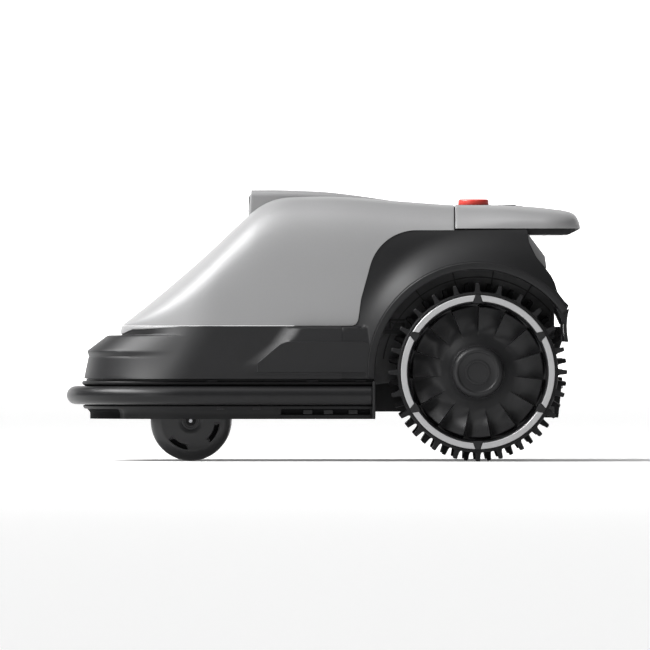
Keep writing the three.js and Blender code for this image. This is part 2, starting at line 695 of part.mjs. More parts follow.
function hubCap() {
  const outer = WIDTH / 2 - DRIVE.x;
  return turn(
    [[0, 26.3], [31, 26.3], [30.5, 31], [27, outer - 1], [24.5, outer], [22, outer - 2.5], [0, outer - 2.5]],
    "x",
  );
}

const driveShaft = () => turn([[0, -61], [8, -61], [8, 25], [0, 25]], "x", 20);

// ---------------------------------------------------------------- caster, swivel axis up from the ground

function casterArm() {
  const { trail, radius, half } = CASTER;
  const crown = box([-half - 10, 12], [-12, 14], [96.2, 100.4]);
  const stem = rod(8, [98, 127], [0, 0]);
  const leg = new THREE.Shape();
  leg.moveTo(-12, 100.4);
  leg.lineTo(-12, 92);
  leg.lineTo(trail - 11, radius);
  leg.absarc(trail, radius, 11, Math.PI, 2 * Math.PI, false);
  leg.lineTo(14, 96.2);
  leg.lineTo(14, 100.4);
  const arm = slab(leg, -half - 10, -half - 3, 8);
  const bore = rod(4 + GAP, [-half - 12, 0], [trail, radius], "x", 16);
  return cut(join(crown, stem, arm), bore);
}

// Wheel and axle along X, about the wheel's own centre.
function casterWheel() {
  const { radius, half } = CASTER;
  const body = turn(
    [
      [4 + GAP, -half], [34, -half], [43, 4 - half], [radius, 10 - half], [radius, half - 10],
      [43, half - 4], [34, half], [11, half], [9, half - 2.5], [4 + GAP, half - 2.5],
    ],
    "x",
  );
  const slots = [-27, 63, 153, 243].map((middle) => {
    const span = THREE.MathUtils.degToRad(21.5);
    const angle = THREE.MathUtils.degToRad(middle);
    const point = (r, a) => [r * Math.cos(a), r * Math.sin(a)];
    const line = [point(31, angle - span), point(34, angle - span / 2), point(34, angle + span / 2), point(31, angle + span), point(28.5, angle)];
    return slab(outline(line), -half - 1, half + 1);
  });
  return cut(body, ...slots);
}

function casterAxle() {
  const { half } = CASTER;
  return turn([[0, -half - 11], [4, -half - 11], [4, half - 2], [6, half - 2], [6, half], [4.6, half + 1.4], [0, half + 1.4]], "x", 16);
}

// ---------------------------------------------------------------- cutter

const DISC = { bottom: CUTTER.bladeZ + 3, top: CUTTER.bladeZ + 7 };
const BLADE = { pin: 70, tip: CUTTER.reach - 70, half: 9, thick: 1.2 };

function cutterCarriage() {
  const y = CUTTER.y;
  const can = cut(rod(42, [88, 190], [0, y]), rod(36, [96, 191], [0, y]));
  const ears = [-1, 1].map((s) => box(s > 0 ? [38, 76] : [-76, -38], [y - 9, y + 9], [179, 190]));
  const nutEar = box([-9, 9], [y + 38, y + 70], [179, 190]);
  const holes = [-1, 1].map((s) => rod(5 + GAP, [170, 195], [s * 66, y], "z", 16));
  const nut = rod(4 + GAP, [170, 195], [0, y + 60], "z", 16);
  const bearing = rod(6, [80, 100], [0, y], "z", 20);
  return cut(join(can, ...ears, nutEar), ...holes, nut, bearing);
}

const cutterMotor = () => turn([[0, 110], [14, 110], [14, 106], [5.3, 106], [5.3, 96.5], [12, 96.5], [35.6, 97], [35.6, 182], [0, 182]], "z");

const cutterShaft = () => turn([[0, 62], [5, 62], [5, 105.6], [0, 105.6]], "z", 16);

function cuttingDisc() {
  const plateDisc = turn([[5 + GAP, DISC.bottom], [CUTTER.discRadius, DISC.bottom], [CUTTER.discRadius, DISC.top], [16, DISC.top], [16, 86], [5 + GAP, 86]], "z", 24);
  const pins = [0, 1, 2].map((i) => {
    const angle = Math.PI / 2 + (i * 2 * Math.PI) / 3;
    const centre = [BLADE.pin * Math.cos(angle), BLADE.pin * Math.sin(angle)];
    return join(
      rod(2.6, [CUTTER.bladeZ - 1, DISC.bottom + 1], centre, "z", 8),
      rod(5, [CUTTER.bladeZ - 2.4, CUTTER.bladeZ - 0.6], centre, "z", 8),
    );
  });
  return join(plateDisc, ...pins);
}

// A blade about its own pin, edge running out along +X.
function blade() {
  const { tip, half, thick } = BLADE;
  const shape = outline([[-7, -half + 2], [-5, -half], [tip, -half], [tip, half], [-5, half], [-7, half - 2]]);
  const hole = new THREE.Path();
  hole.absarc(0, 0, 3.1, 0, 2 * Math.PI, true);
  shape.holes.push(hole);
  return plate(shape, 0, thick, 4);
}

const skidPlate = () => turn([[5 + GAP, 63], [40, 63], [54, 67], [54, 68.5], [39, 66], [5 + GAP, 66]], "z");

const guideRod = () => turn([[0, 122.4], [5, 122.4], [5, 204], [0, 204]], "z", 16);

function heightBridge() {
  const y = CUTTER.y;
  const shape = outline([[-78, y - 10], [78, y - 10], [78, y + 12], [22, y + 74], [-22, y + 74], [-78, y + 12]]);
  const bridge = plate(shape, 204.3, 209.3);
  return cut(bridge, rod(4 + GAP, [200, 215], [0, y + 60], "z", 16));
}

const heightMotor = () => turn([[0, 212.6], [4.6, 212.6], [4.6, 209.6], [17, 209.6], [17, 246], [0, 246]], "z", 16);

const heightScrew = () => turn([[0, 122.4], [4, 122.4], [4, 212.3], [0, 212.3]], "z", 16);

// ---------------------------------------------------------------- assembly

const mower = new THREE.Group();
mower.name = "robotic_lawn_mower";

function mesh(name, solid, material) {
  const made = new THREE.Mesh(toGeometry(solid), material);
  made.name = name;
  return made;
}

function group(parent, name, x = 0, y = 0, z = 0) {
  const made = new THREE.Group();
  made.name = name;
  made.position.set(x, y, z);
  parent.add(made);
  return made;
}

// Left and right halves: the right one is the left one mirrored.
const halves = ["left", "right"].map((side) => {
  const half = group(mower, side);
  half.scale.x = side === "left" ? 1 : -1;
  return half;
});
const pair = (name, solid, material, place) =>
  halves.forEach((half) => place(half).add(mesh(`${name}_${half.name}`, solid, material)));

const body = group(mower, "body");
body.add(mesh("chassis_tub", chassisTub(), MATERIAL.chassis));
body.add(mesh("front_skirt", frontSkirt(), MATERIAL.shell));
body.add(mesh("top_cover", topCover(), MATERIAL.silver));
body.add(mesh("rear_deck", rearDeck(), MATERIAL.silver));
body.add(mesh("handle_base", handleBase(), MATERIAL.shell));
body.add(mesh("rear_panel", rearPanel(), MATERIAL.silver));
body.add(mesh("camera_housing", cameraHousing(), MATERIAL.silver));
body.add(mesh("camera_window", cameraWindow(), MATERIAL.glass));
body.add(mesh("keypad_panel", keypadPanel(), MATERIAL.shell));
body.add(mesh("battery_pack", batteryPack(), MATERIAL.battery));
body.add(mesh("control_board", controlBoard(), MATERIAL.board));
body.add(mesh("height_bridge", heightBridge(), MATERIAL.motor));
body.add(mesh("height_motor", heightMotor(), MATERIAL.motor));
body.getObjectByName("height_motor").position.y = CUTTER.y + 60;

const same = (half) => half;
pair("fender", fender(), MATERIAL.shell, same);
pair("mud_flap", mudFlap(), MATERIAL.rubber, same);
pair("charge_contact", chargeContact(), MATERIAL.copper, same);
pair("camera_lens", cameraLens(), MATERIAL.glass, (half) => group(half, "eye", 28, 0, 302.5));
pair("guide_rod", guideRod(), MATERIAL.steel, (half) => group(half, "rod", 66, CUTTER.y));

const axle = (half) => group(half, "axle", 0, DRIVE.y, DRIVE.radius);
pair("gearbox", gearbox(), MATERIAL.motor, axle);
pair("drive_motor", driveMotor(), MATERIAL.motor, axle);

const wheel = (half) => group(half, "wheel", DRIVE.x, DRIVE.y, DRIVE.radius);
pair("tyre", tyre(), MATERIAL.rubber, wheel);
pair("rim", rim(), MATERIAL.wheel, wheel);
pair("trim_ring", trimRing(), MATERIAL.trim, wheel);
pair("hub_cap", hubCap(), MATERIAL.wheel, wheel);
pair("drive_shaft", driveShaft(), MATERIAL.steel, wheel);

const swivel = (half) => group(half, "swivel", CASTER.x, CASTER.y);
const hub = (half) => group(half, "hub", CASTER.x, CASTER.y + CASTER.trail, CASTER.radius);
pair("caster_bush", casterBush(), MATERIAL.key, swivel);
pair("caster_arm", casterArm(), MATERIAL.chassis, swivel);
pair("caster_wheel", casterWheel(), MATERIAL.wheel, hub);
pair("caster_axle", casterAxle(), MATERIAL.steel, hub);

const cutter = group(mower, "cutter", 0, CUTTER.y, 0);
cutter.add(mesh("cutter_motor", cutterMotor(), MATERIAL.motor));
cutter.add(mesh("cutter_shaft", cutterShaft(), MATERIAL.steel));
cutter.add(mesh("cutting_disc", cuttingDisc(), MATERIAL.steel));
cutter.add(mesh("skid_plate", skidPlate(), MATERIAL.chassis));
mower.add(mesh("cutter_carriage", cutterCarriage(), MATERIAL.chassis));
for (let i = 0; i < 3; i++) {
  const angle = Math.PI / 2 + (i * 2 * Math.PI) / 3;
  const knife = mesh(`blade_${i + 1}`, blade(), MATERIAL.steel);
  knife.position.set(BLADE.pin * Math.cos(angle), BLADE.pin * Math.sin(angle), CUTTER.bladeZ);
  knife.rotation.z = angle;
  cutter.add(knife);
}
const screw = mesh("height_screw", heightScrew(), MATERIAL.steel);
screw.position.y = CUTTER.y + 60;
mower.add(screw);

const bumper = group(mower, "bumper");
bumper.add(mesh("bumper_frame", bumperFrame(), MATERIAL.shell));
bumper.add(mesh("bumper_tube", bumperTube(), MATERIAL.rubber));

const stop = mesh("stop_button", stopButton(), MATERIAL.red);
stop.position.y = BUTTON.y;
mower.add(stop);
["home_key", "start_key", "power_key"].forEach((name, i) => {
  const cap = mesh(name, keyCap(), MATERIAL.key);
  cap.position.set((i - 1) * KEY.pitch, KEY.y, 0);
  mower.add(cap);
});

export default mower;
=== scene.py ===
"""Looks for the robotic lawn mower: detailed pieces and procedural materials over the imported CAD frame."""

import json
import math

import bpy
import numpy as np
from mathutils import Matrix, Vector


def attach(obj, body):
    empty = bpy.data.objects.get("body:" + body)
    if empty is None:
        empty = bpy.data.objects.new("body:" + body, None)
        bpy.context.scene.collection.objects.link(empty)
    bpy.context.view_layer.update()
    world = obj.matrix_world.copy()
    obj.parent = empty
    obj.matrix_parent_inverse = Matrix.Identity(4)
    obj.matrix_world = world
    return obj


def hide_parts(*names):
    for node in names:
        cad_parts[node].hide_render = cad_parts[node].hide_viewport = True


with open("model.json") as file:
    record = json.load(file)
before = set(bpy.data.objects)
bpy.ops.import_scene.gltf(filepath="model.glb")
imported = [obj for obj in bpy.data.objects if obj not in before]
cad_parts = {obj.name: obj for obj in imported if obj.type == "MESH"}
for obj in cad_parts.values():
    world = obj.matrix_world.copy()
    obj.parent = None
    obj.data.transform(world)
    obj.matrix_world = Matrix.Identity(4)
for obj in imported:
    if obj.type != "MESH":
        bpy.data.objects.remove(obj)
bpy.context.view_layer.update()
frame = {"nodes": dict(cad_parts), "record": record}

# ------------------------------------------------------------------ shared dimensions, in millimetres

# x runs to the machine's left, y from the nose (minus) to the tail, z up from the ground.
TAIL = 301.5
SKIN = 3.0  # wall of the covers
SEAM, SEAM_GAP, SEAM_R = 153.6, 1, 1.2  # the joint between the hood and the rear deck
COVER_COLUMNS = 120
NOSE_SLOPE, NOSE_WALL = 0.86, 4.7  # the hood's slope over the nose, and its wall measured level there
SQUARENESS = 5.2  # power of the hood's arched section
# plan outlines: half width, front, and the radii of the front corners across and along
HOOD = {"half": 162, "front": -237, "rx": 100, "ry": 115}
HOOD_BASE = 158.7
DECK_BASE = 272.5
SKIRT = {"half": 178, "front": -281, "rx": 125, "ry": 125}
SKIRT_LOW, SKIRT_HIGH, SKIRT_REAR = 96.6, 158.4, 21.7
FRAME = {"half": 171, "front": -280, "rx": 119, "ry": 119}
TUBE_R, TUBE_Z = 10.6, 77  # the bumper's hose
EDGE_Y, EDGE_Z, EDGE_R = 109, 214.4, 56  # the round of the hood's edge over the wheel arch
AXLE = (158, 180.6, 104.4)
ARCH_R = 120
WALL_X = 119.4  # outer face of the wheel arch's inner wall
CASTER = (82, -155.5, 47.2)
BUTTON_Y, KEY_Y, KEY_PITCH = 177, 220, 26
PLATE_X, FENDER_X = 177.4, 190.5  # outer faces of the side plate and of the fender's lip
TYRE_R = 93  # foot of the tyre's lugs
LUGS, VANES, TRIM_PARTS = 24, 15, 6
TRIM_IN, TRIM_OUT = 82.9, 89.8
CASTER_SLOTS = (-27, 63, 153, 243)  # middles of the curved slots, in degrees


# ------------------------------------------------------------------ numbers


def spline_height(points):
    """The smooth height line that the CAD covers follow, read at any position."""
    p = np.array(points, float)
    n = len(p)
    t = np.linspace(0, n - 1, 40 * n)
    i = np.minimum(t.astype(int), n - 2)
    w = (t - i)[:, None]
    p0, p1, p2, p3 = p[np.maximum(i - 1, 0)], p[i], p[i + 1], p[np.minimum(i + 2, n - 1)]
    v0, v1 = (p2 - p0) / 2, (p3 - p1) / 2
    q = (2 * p1 - 2 * p2 + v0 + v1) * w**3 + (-3 * p1 + 3 * p2 - 2 * v0 - v1) * w**2 + v0 * w + p1
    return lambda y: np.interp(y, q[:, 0], q[:, 1])


hood_top = spline_height(
    [(-237, HOOD_BASE), (-190, 196.5), (-140, 239.5), (-100, 277), (-76, 297.5), (-52, 308),
     (-20, 310.4), (25, 310.2), (90, 305), (SEAM, 300.6), (200, 300.8)]
)
deck_top = spline_height(
    [(120, 303.4), (SEAM, 300.6), (200, 300.8), (245, 298.6), (275, 295.4), (289, 292.8),
     (296, 288.8), (300.2, 281.5), (TAIL, DECK_BASE)]
)
camera_top = spline_height([(-84, 318.5), (-47, 318.4), (0, 316.4), (40, 312), (92, 304.4)])


def step(x, a, b):
    """0 before a, 1 after b, and a smooth rise between."""
    t = min(max((x - a) / (b - a), 0), 1)
    return t * t * (3 - 2 * t)


def lerp(a, b, t):
    return a + (b - a) * t


def circle(r, a):
    return r * math.cos(a), r * math.sin(a)


def half_width(line, y):
    """Half width of a plan outline, narrowing round its front corner."""
    t = min(max((y - line["front"]) / line["ry"], 0), 1)
    return line["half"] - line["rx"] + line["rx"] * math.sqrt(max(1 - (1 - t) ** 2, 0))


def arch(half, base, top, power, start, columns):
    """(x, z) over a cover from left to right: an ellipse made squarer by the power, cut off below start."""
    height = max(top - base, 1e-6)
    share = min(max((start - base) / height, 0), 1)
    first = math.asin(share ** (power / 2))
    a = np.linspace(first, math.pi - first, columns + 1)
    c = np.cos(a)
    x = half * np.sign(c) * np.abs(c) ** (2 / power)
    return np.stack([x, base + height * np.sin(a) ** (2 / power)], 1)


def hood_edge(inset=0.0):
    """(y, z) along the hood's lower edge at the side: level, round the corner, then over the wheel arch."""
    r = EDGE_R - inset
    bend = [circle(r, a) for a in np.linspace(math.radians(165), math.pi / 2, 40)]
    corner = [(30, HOOD_BASE), (34.5, HOOD_BASE + 0.2), (38.3, 160.6), (40.6, 164.6), (41.6, 170.5),
              (44.2, 190)]
    line = [(y + inset * 0.9, z - inset * step(190 - z, 0, 30)) for y, z in corner]
    return line + [(EDGE_Y + c, EDGE_Z + s) for c, s in bend]


def edge_height(y):
    """Height of the hood's lower edge at the side."""
    line = hood_edge()
    return float(np.interp(y, [p[0] for p in line], [p[1] for p in line]))


def hood_section(y, inset, start):
    """The hood's section above the height start. On the sloping nose an inset lowers it by more."""
    lean = (1 / math.cos(math.atan(NOSE_SLOPE)) - 1) * (1 - step(y, -110, -50))
    return arch(
        half_width(HOOD, y) - inset,
        HOOD_BASE,
        max(float(hood_top(y)) - inset * (1 + lean), HOOD_BASE + 1e-3),
        lerp(3, SQUARENESS, step(y, -215, -70)),
        start,
        COVER_COLUMNS,
    )


def deck_section(y, inset):
    """The deck's section: the hood's at the seam, turning into its own towards the tail."""
    corner = min(max((y - (TAIL - 45)) / 45, 0), 1)
    half = 106 + 45 * math.sqrt(max(1 - corner**2, 0)) - inset
    top = max(float(deck_top(y)) - inset, DECK_BASE + 1e-3)
    own = arch(half, DECK_BASE, top, 3, DECK_BASE, COVER_COLUMNS)
    forward = hood_section(min(y, SEAM), inset, DECK_BASE)
    return lerp(forward, own, step(y, SEAM, SEAM + 90))


def wall_x(y, z):
    """Half width of the dark side wall: slanted at the nose, flat behind the side plate's front edge."""
    slant = lerp(SKIRT["half"], HOOD["half"], (z - SKIRT_LOW) / (SKIRT_HIGH - SKIRT_LOW))
    flat = PLATE_X - 0.6 - 5 * min(max((z - 140) / 16, 0), 1)
    flat = lerp(flat, HOOD["half"], step(z, 155.6, SKIRT_HIGH) ** 1.6)
    edge = float(np.interp(z, [113, 137, 158], [-77, -50.6, -40]))
    rise = max((y - edge + 27) / 27, 0) ** 1.8
    rounding = 0.04 + 0.5 * step(z, 138, 147)
    mix = min(max(0.5 + 0.5 * (1 - rise) / rounding, 0), 1)
    share = lerp(1, rise, mix) - rounding * mix * (1 - mix)
    return max(slant, lerp(slant, flat, share))


# ------------------------------------------------------------------ meshes, each (points, faces) in mm


def grid(rows, wrap_rows=False, wrap_columns=False, flip=False):
    """A surface of four-sided faces through rows of points."""
    rows = np.asarray(rows, float)
    n, m = rows.shape[:2]
    faces = []
    for r in range(n if wrap_rows else n - 1):
        for c in range(m if wrap_columns else m - 1):
            a, b = r * m + c, r * m + (c + 1) % m
            d, e = ((r + 1) % n) * m + c, ((r + 1) % n) * m + (c + 1) % m
            faces.append((a, d, e, b) if flip else (a, b, e, d))
    return rows.reshape(-1, 3), faces


def together(*parts):
    """Several meshes as one."""
    points, faces, base = [], [], 0
    for p, f in parts:
        p = np.asarray(p, float)
        points.append(p)
        faces += [tuple(i + base for i in face) for face in f]
        base += len(p)
    return np.concatenate(points), faces


def shell(outer, inner):
    """A thin wall between two grids, with its rims closed."""
    outer, inner = np.asarray(outer, float), np.asarray(inner, float)
    n, m = outer.shape[:2]
    ring_o = [(0, c) for c in range(m)] + [(r, m - 1) for r in range(1, n)]
    ring_o += [(n - 1, c) for c in range(m - 2, -1, -1)] + [(r, 0) for r in range(n - 2, 0, -1)]
    points, faces = together(grid(outer), grid(inner, flip=True))
    k = n * m
    for (r0, c0), (r1, c1) in zip(ring_o, ring_o[1:] + ring_o[:1]):
        a, b = r0 * m + c0, r1 * m + c1
        faces.append((b, a, a + k, b + k))
    return points, faces


def place(points, axis, centre=(0, 0, 0)):
    """(across, up, along) turned so that along runs on the axis."""
    p = np.asarray(points, float)
    u, v, w = p[:, 0], p[:, 1], p[:, 2]
    order = {"x": (w, u, v), "y": (v, w, u), "z": (u, v, w)}[axis]
    return np.stack(order, 1) + np.array(centre, float)


def revolve(profile, axis, centre=(0, 0, 0), n=96, closed=True):
    """A profile of (radius, position along the axis) turned round the axis."""
    profile = np.asarray(profile, float)
    a = np.linspace(0, 2 * math.pi, n, endpoint=False)
    rows = np.stack(
        [np.outer(np.cos(a), profile[:, 0]), np.outer(np.sin(a), profile[:, 0]),
         np.tile(profile[:, 1], (n, 1))], 2)
    p, f = grid(rows, wrap_rows=True, wrap_columns=closed, flip=True)
    return place(p, axis, centre), f


def prism(outline, low, high, axis="z", centre=(0, 0, 0)):
    """A flat outline pushed along the axis from low to high."""
    o = np.asarray(outline, float)
    area = np.sum(o[:, 0] * np.roll(o[:, 1], -1) - np.roll(o[:, 0], -1) * o[:, 1])
    if area < 0:
        o = o[::-1]
    n = len(o)
    p = np.concatenate([np.c_[o, np.full(n, low)], np.c_[o, np.full(n, high)]])
    faces = [tuple(range(n - 1, -1, -1)), tuple(range(n, 2 * n))]
    faces += [(i, (i + 1) % n, n + (i + 1) % n, n + i) for i in range(n)]
    return place(p, axis, centre), faces


def block(x, y, z):
    """A box between the two values given for each direction."""
    return prism([(x[0], y[0]), (x[1], y[0]), (x[1], y[1]), (x[0], y[1])], z[0], z[1])


def disc(r, low, high, axis, centre=(0, 0, 0), n=48, soft=0.6):
    """A short cylinder with chamfered rims."""
    s = min(soft, r * 0.4, abs(high - low) * 0.4)
    return revolve(
        [(1e-3, low), (r - s, low), (r, low + s), (r, high - s), (r - s, high), (1e-3, high)], axis, centre, n
    )


def round_box(w, h, r):
    """A rectangle of half sizes w and h with round corners."""
    points = []
    steps = 8
    for cx, cy, a0 in ((w - r, h - r, 0), (r - w, h - r, 90), (r - w, r - h, 180), (w - r, r - h, 270)):
        for i in range(steps + 1):
            c, s = circle(r, math.radians(a0 + 90 * i / steps))
            points.append((cx + c, cy + s))
    return points


def mirrored(part):
    """The same mesh on the other side of the machine."""
    p, f = part
    p = np.array(p, float)
    p[:, 0] *= -1
    return p, [tuple(reversed(face)) for face in f]


def capped(rows):
    """A solid through closed rows of points, with its first and last row filled in."""
    p, f = grid(rows, wrap_columns=True)
    n, m = len(rows), len(rows[0])
    return p, f + [tuple(range(m - 1, -1, -1)), tuple(range((n - 1) * m, n * m))]


def sweep(path, sections):
    """Closed sections, as (outwards, up from the hose's height) pairs, one at each point of a level path."""
    return capped([[(x + nx * o, y + ny * o, TUBE_Z + u) for o, u in section]
                   for (x, y, nx, ny), section in zip(path, sections)])


def nose_line(line, rear, sides=30, corner=48):
    """(x, y, outward x, outward y) from the left rear end, round the nose, to the right rear end."""
    cx, cy = line["half"] - line["rx"], line["front"] + line["ry"]
    half = [(line["half"], lerp(rear, cy, i / sides), 1, 0) for i in range(sides)]
    for i in range(corner + 1):
        c, s = circle(1, math.pi / 2 * i / corner)
        half.append((cx + line["rx"] * c, cy - line["ry"] * s, c, -s))
    half += [(lerp(cx, 0, i / 12), line["front"], 0, -1) for i in range(1, 13)]
    return half + [(-x, y, -nx, ny) for x, y, nx, ny in reversed(half[:-1])]


# ------------------------------------------------------------------ materials

MATERIALS = {}


def tone(v):
    """An sRGB level, 0 to 255, as linear light."""
    c = v / 255
    return c / 12.92 if c <= 0.04045 else ((c + 0.055) / 1.055) ** 2.4


def material(name, srgb, roughness, metallic=0.0, grain=None, coat=0.0, mottle=None, brushed=None,
             specular=0.5, ior=1.5):
    """A procedural look. Grain is fine bumps (scale, depth); mottle is uneven tone (scale, share)."""
    m = bpy.data.materials.new(name)
    m.use_nodes = True
    nodes, links = m.node_tree.nodes, m.node_tree.links
    shader = nodes["Principled BSDF"]
    colour = tuple(tone(v) for v in srgb) + (1,)
    shader.inputs["Base Color"].default_value = colour
    shader.inputs["Roughness"].default_value = roughness
    shader.inputs["Metallic"].default_value = metallic
    shader.inputs["Coat Weight"].default_value = coat
    shader.inputs["Coat Roughness"].default_value = 0.12
    shader.inputs["Specular IOR Level"].default_value = specular
    shader.inputs["IOR"].default_value = ior
    place_at = nodes.new("ShaderNodeTexCoord")
    if grain:
        scale, depth = grain
        noise = nodes.new("ShaderNodeTexNoise")
        noise.inputs["Scale"].default_value = scale
        noise.inputs["Detail"].default_value = 3
        bump = nodes.new("ShaderNodeBump")
        bump.inputs["Strength"].default_value = 0.35
        bump.inputs["Distance"].default_value = depth
        if brushed:
            stretch = nodes.new("ShaderNodeMapping")
            stretch.inputs["Scale"].default_value = brushed
            links.new(place_at.outputs["Object"], stretch.inputs["Vector"])
            links.new(stretch.outputs["Vector"], noise.inputs["Vector"])
        else:
            links.new(place_at.outputs["Object"], noise.inputs["Vector"])
        links.new(noise.outputs["Fac"], bump.inputs["Height"])
        links.new(bump.outputs["Normal"], shader.inputs["Normal"])
    if mottle:
        scale, amount = mottle
        patches = nodes.new("ShaderNodeTexNoise")
        patches.inputs["Scale"].default_value = scale
        patches.inputs["Detail"].default_value = 4
        ramp = nodes.new("ShaderNodeValToRGB")
        ramp.color_ramp.elements[0].position = 0.3
        ramp.color_ramp.elements[1].position = 0.7
        ramp.color_ramp.elements[0].color = tuple(c * (1 - amount) for c in colour[:3]) + (1,)
        ramp.color_ramp.elements[1].color = tuple(min(c * (1 + amount), 1) for c in colour[:3]) + (1,)
        links.new(place_at.outputs["Object"], patches.inputs["Vector"])
        links.new(patches.outputs["Fac"], ramp.inputs["Fac"])
        links.new(ramp.outputs["Color"], shader.inputs["Base Color"])
    MATERIALS[name] = m


moulded = {"grain": (900, 0.00008), "mottle": (60, 0.04)}
material("silver", (134, 134, 134.6), 0.48, 0.08, grain=(1400, 0.00004), coat=0.04, mottle=(900, 0.02),
         specular=0.4)
material("shell", (28, 28, 29), 0.44, ior=1.33, **moulded)
material("chassis", (26, 26, 27), 0.6, grain=(700, 0.00015), mottle=(40, 0.06), specular=0.2)
material("soft_rubber", (22, 22, 23), 0.36, grain=(600, 0.0001), mottle=(50, 0.06), ior=1.3)
material("tyre_rubber", (25, 25, 26), 0.66, grain=(500, 0.0003), mottle=(35, 0.10), ior=1.27)
material("wheel_plastic", (34, 34, 35), 0.38, grain=(800, 0.0001), mottle=(50, 0.05), ior=1.3)
material("trim", (166, 166, 167), 0.34, 0.25, mottle=(700, 0.02))
material("lens", (4, 4, 5), 0.04, coat=0.6)
material("red", (208, 62, 52), 0.36, mottle=(60, 0.04), coat=0.15)
material("key", (66, 66, 67), 0.55, grain=(900, 0.0001))
material("steel", (186, 187, 190), 0.26, 1.0, grain=(60, 0.00004), brushed=(1, 1, 30))
material("motor_metal", (138, 139, 142), 0.38, 1.0, mottle=(30, 0.08))
material("contact", (212, 164, 96), 0.24, 1.0)
material("battery_wrap", (52, 56, 62), 0.5, mottle=(30, 0.08))
material("board", (24, 74, 48), 0.45, mottle=(50, 0.1))
material("mark", (188, 188, 186), 0.5)
# darker than the shell plastic the bumper's rail is made of: painted shade on the rail
material("painted_shade_rail_plastic", (22, 22, 23), 0.48, ior=1.26, **moulded)
# darker than the shell plastic the fenders are made of: painted shade over the fenders
material("painted_shade_fender_plastic", (25, 25, 26), 0.46, ior=1.31, **moulded)
# lighter than the wheel plastic the caster is made of: painted light on the caster's faces
material("painted_light_caster_plastic", (46, 46, 47), 0.36, grain=(800, 0.0001), mottle=(50, 0.05), specular=0.4)
# lighter than the black chassis plastic of the arch's inner wall: painted light in the shaded wheel arch
material("painted_light_liner", (88, 88, 89), 0.8, grain=(500, 0.0003), mottle=(30, 0.12), specular=0.2)
# near black, for painted shade in slots and hollows
material("painted_shade", (7, 7, 8), 0.9, grain=(500, 0.0002), specular=0.1)
material("dark_glass", (10, 12, 18), 0.02, coat=1.0)


def smooth(data, sharp):
    """Smooth shading, broken at edges that turn by more than the angle."""
    data.polygons.foreach_set("use_smooth", [True] * len(data.polygons))
    data.set_sharp_from_angle(angle=math.radians(sharp))


for subpart in frame["record"]["subparts"]:
    node = frame["nodes"][subpart["node"]]
    node.data.materials.clear()
    node.data.materials.append(MATERIALS[subpart["material_slot"]])
    smooth(node.data, 35)


def finish_edges(obj, width, angle=32):
    """Rounds the edges that turn by more than the angle."""
    bevel = obj.modifiers.new("edges", "BEVEL")
    bevel.width = width / 1000
    bevel.segments = 2
    bevel.limit_method = "ANGLE"
    bevel.angle_limit = math.radians(angle)
    bevel.harden_normals = True


def piece(name, part, look, body, slot=None, bevel=0.0, sharp=35, angle=32):
    """One fine visual piece on a body. Its slot argument is not used."""
    points, faces = part
    data = bpy.data.meshes.new(name)
    data.from_pydata((np.asarray(points) / 1000).tolist(), [], [tuple(int(i) for i in f) for f in faces])
    data.validate()
    smooth(data, sharp)
    data.materials.append(MATERIALS[look])
    obj = bpy.data.objects.new(name, data)
    bpy.context.scene.collection.objects.link(obj)
    if bevel:
        finish_edges(obj, bevel, angle)
    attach(obj, body)
    return obj


def both(name, part, look, body, **more):
    """The left piece and its mirror image. A body named with * has a left and a right one."""
    left = piece(f"{name}_left", part, look, body.replace("*", "left"), **more)
    right = piece(f"{name}_right", mirrored(part), look, body.replace("*", "right"), **more)
    return left, right


# ------------------------------------------------------------------ covers


def stations(*spans):
    """Positions over joined spans of (start, end, count)."""
    out = []
    for a, b, n in spans:
        out += list(np.linspace(a, b, n, endpoint=False))
    return out + [spans[-1][1]]


hood_y = stations((-237, -234, 6), (-234, -200, 18), (-200, -110, 40), (-110, -30, 44), (-30, 34, 16),
                  (34, 60, 44), (60, 112, 30), (112, SEAM - SEAM_R, 14), (SEAM - SEAM_R, SEAM, 3))


def seam_drop(into):
    """How far a cover's face drops in the rounding beside the seam."""
    share = max(into, 0) / SEAM_R
    return SEAM_R * (1 - math.sqrt(max(1 - share**2, 0)))


def hood_rows(inset):
    """Sections of the hood's outer face, or of its inner face, which starts further back at the nose."""
    rows = []
    for y in hood_y:
        back = y + NOSE_WALL * (inset / SKIN) * (1 - step(y, -237, -150))
        ease = seam_drop(y - (SEAM - SEAM_R)) if inset == 0 else 0
        section = hood_section(back, inset + ease, edge_height(back))
        rows.append([(x, back, z) for x, z in section])
    return rows


hood = piece("hood_skin", shell(hood_rows(0), hood_rows(SKIN)), "silver", "chassis", sharp=38)
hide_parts("top_cover")

deck_front = SEAM + SEAM_GAP
deck_y = stations((deck_front, deck_front + SEAM_R, 3), (deck_front + SEAM_R, 262, 36), (262, 290, 24),
                  (290, 300, 20), (300, TAIL, 12))


def deck_rows(inset):
    """Sections of the deck's outer face, or of its inner face, which stays inside the tail's rounding."""
    rows = []
    for y in deck_y:
        at = y if inset == 0 else max(min(y, TAIL - 4) - 4 * step(y, 262, 298), deck_front)
        ease = seam_drop(deck_front + SEAM_R - y) if inset == 0 else 0
        rows.append([(x, at, z) for x, z in deck_section(at, inset + ease)])
    return rows


deck = piece("deck_skin", shell(deck_rows(0), deck_rows(SKIN)), "silver", "chassis", sharp=38)
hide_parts("rear_deck")

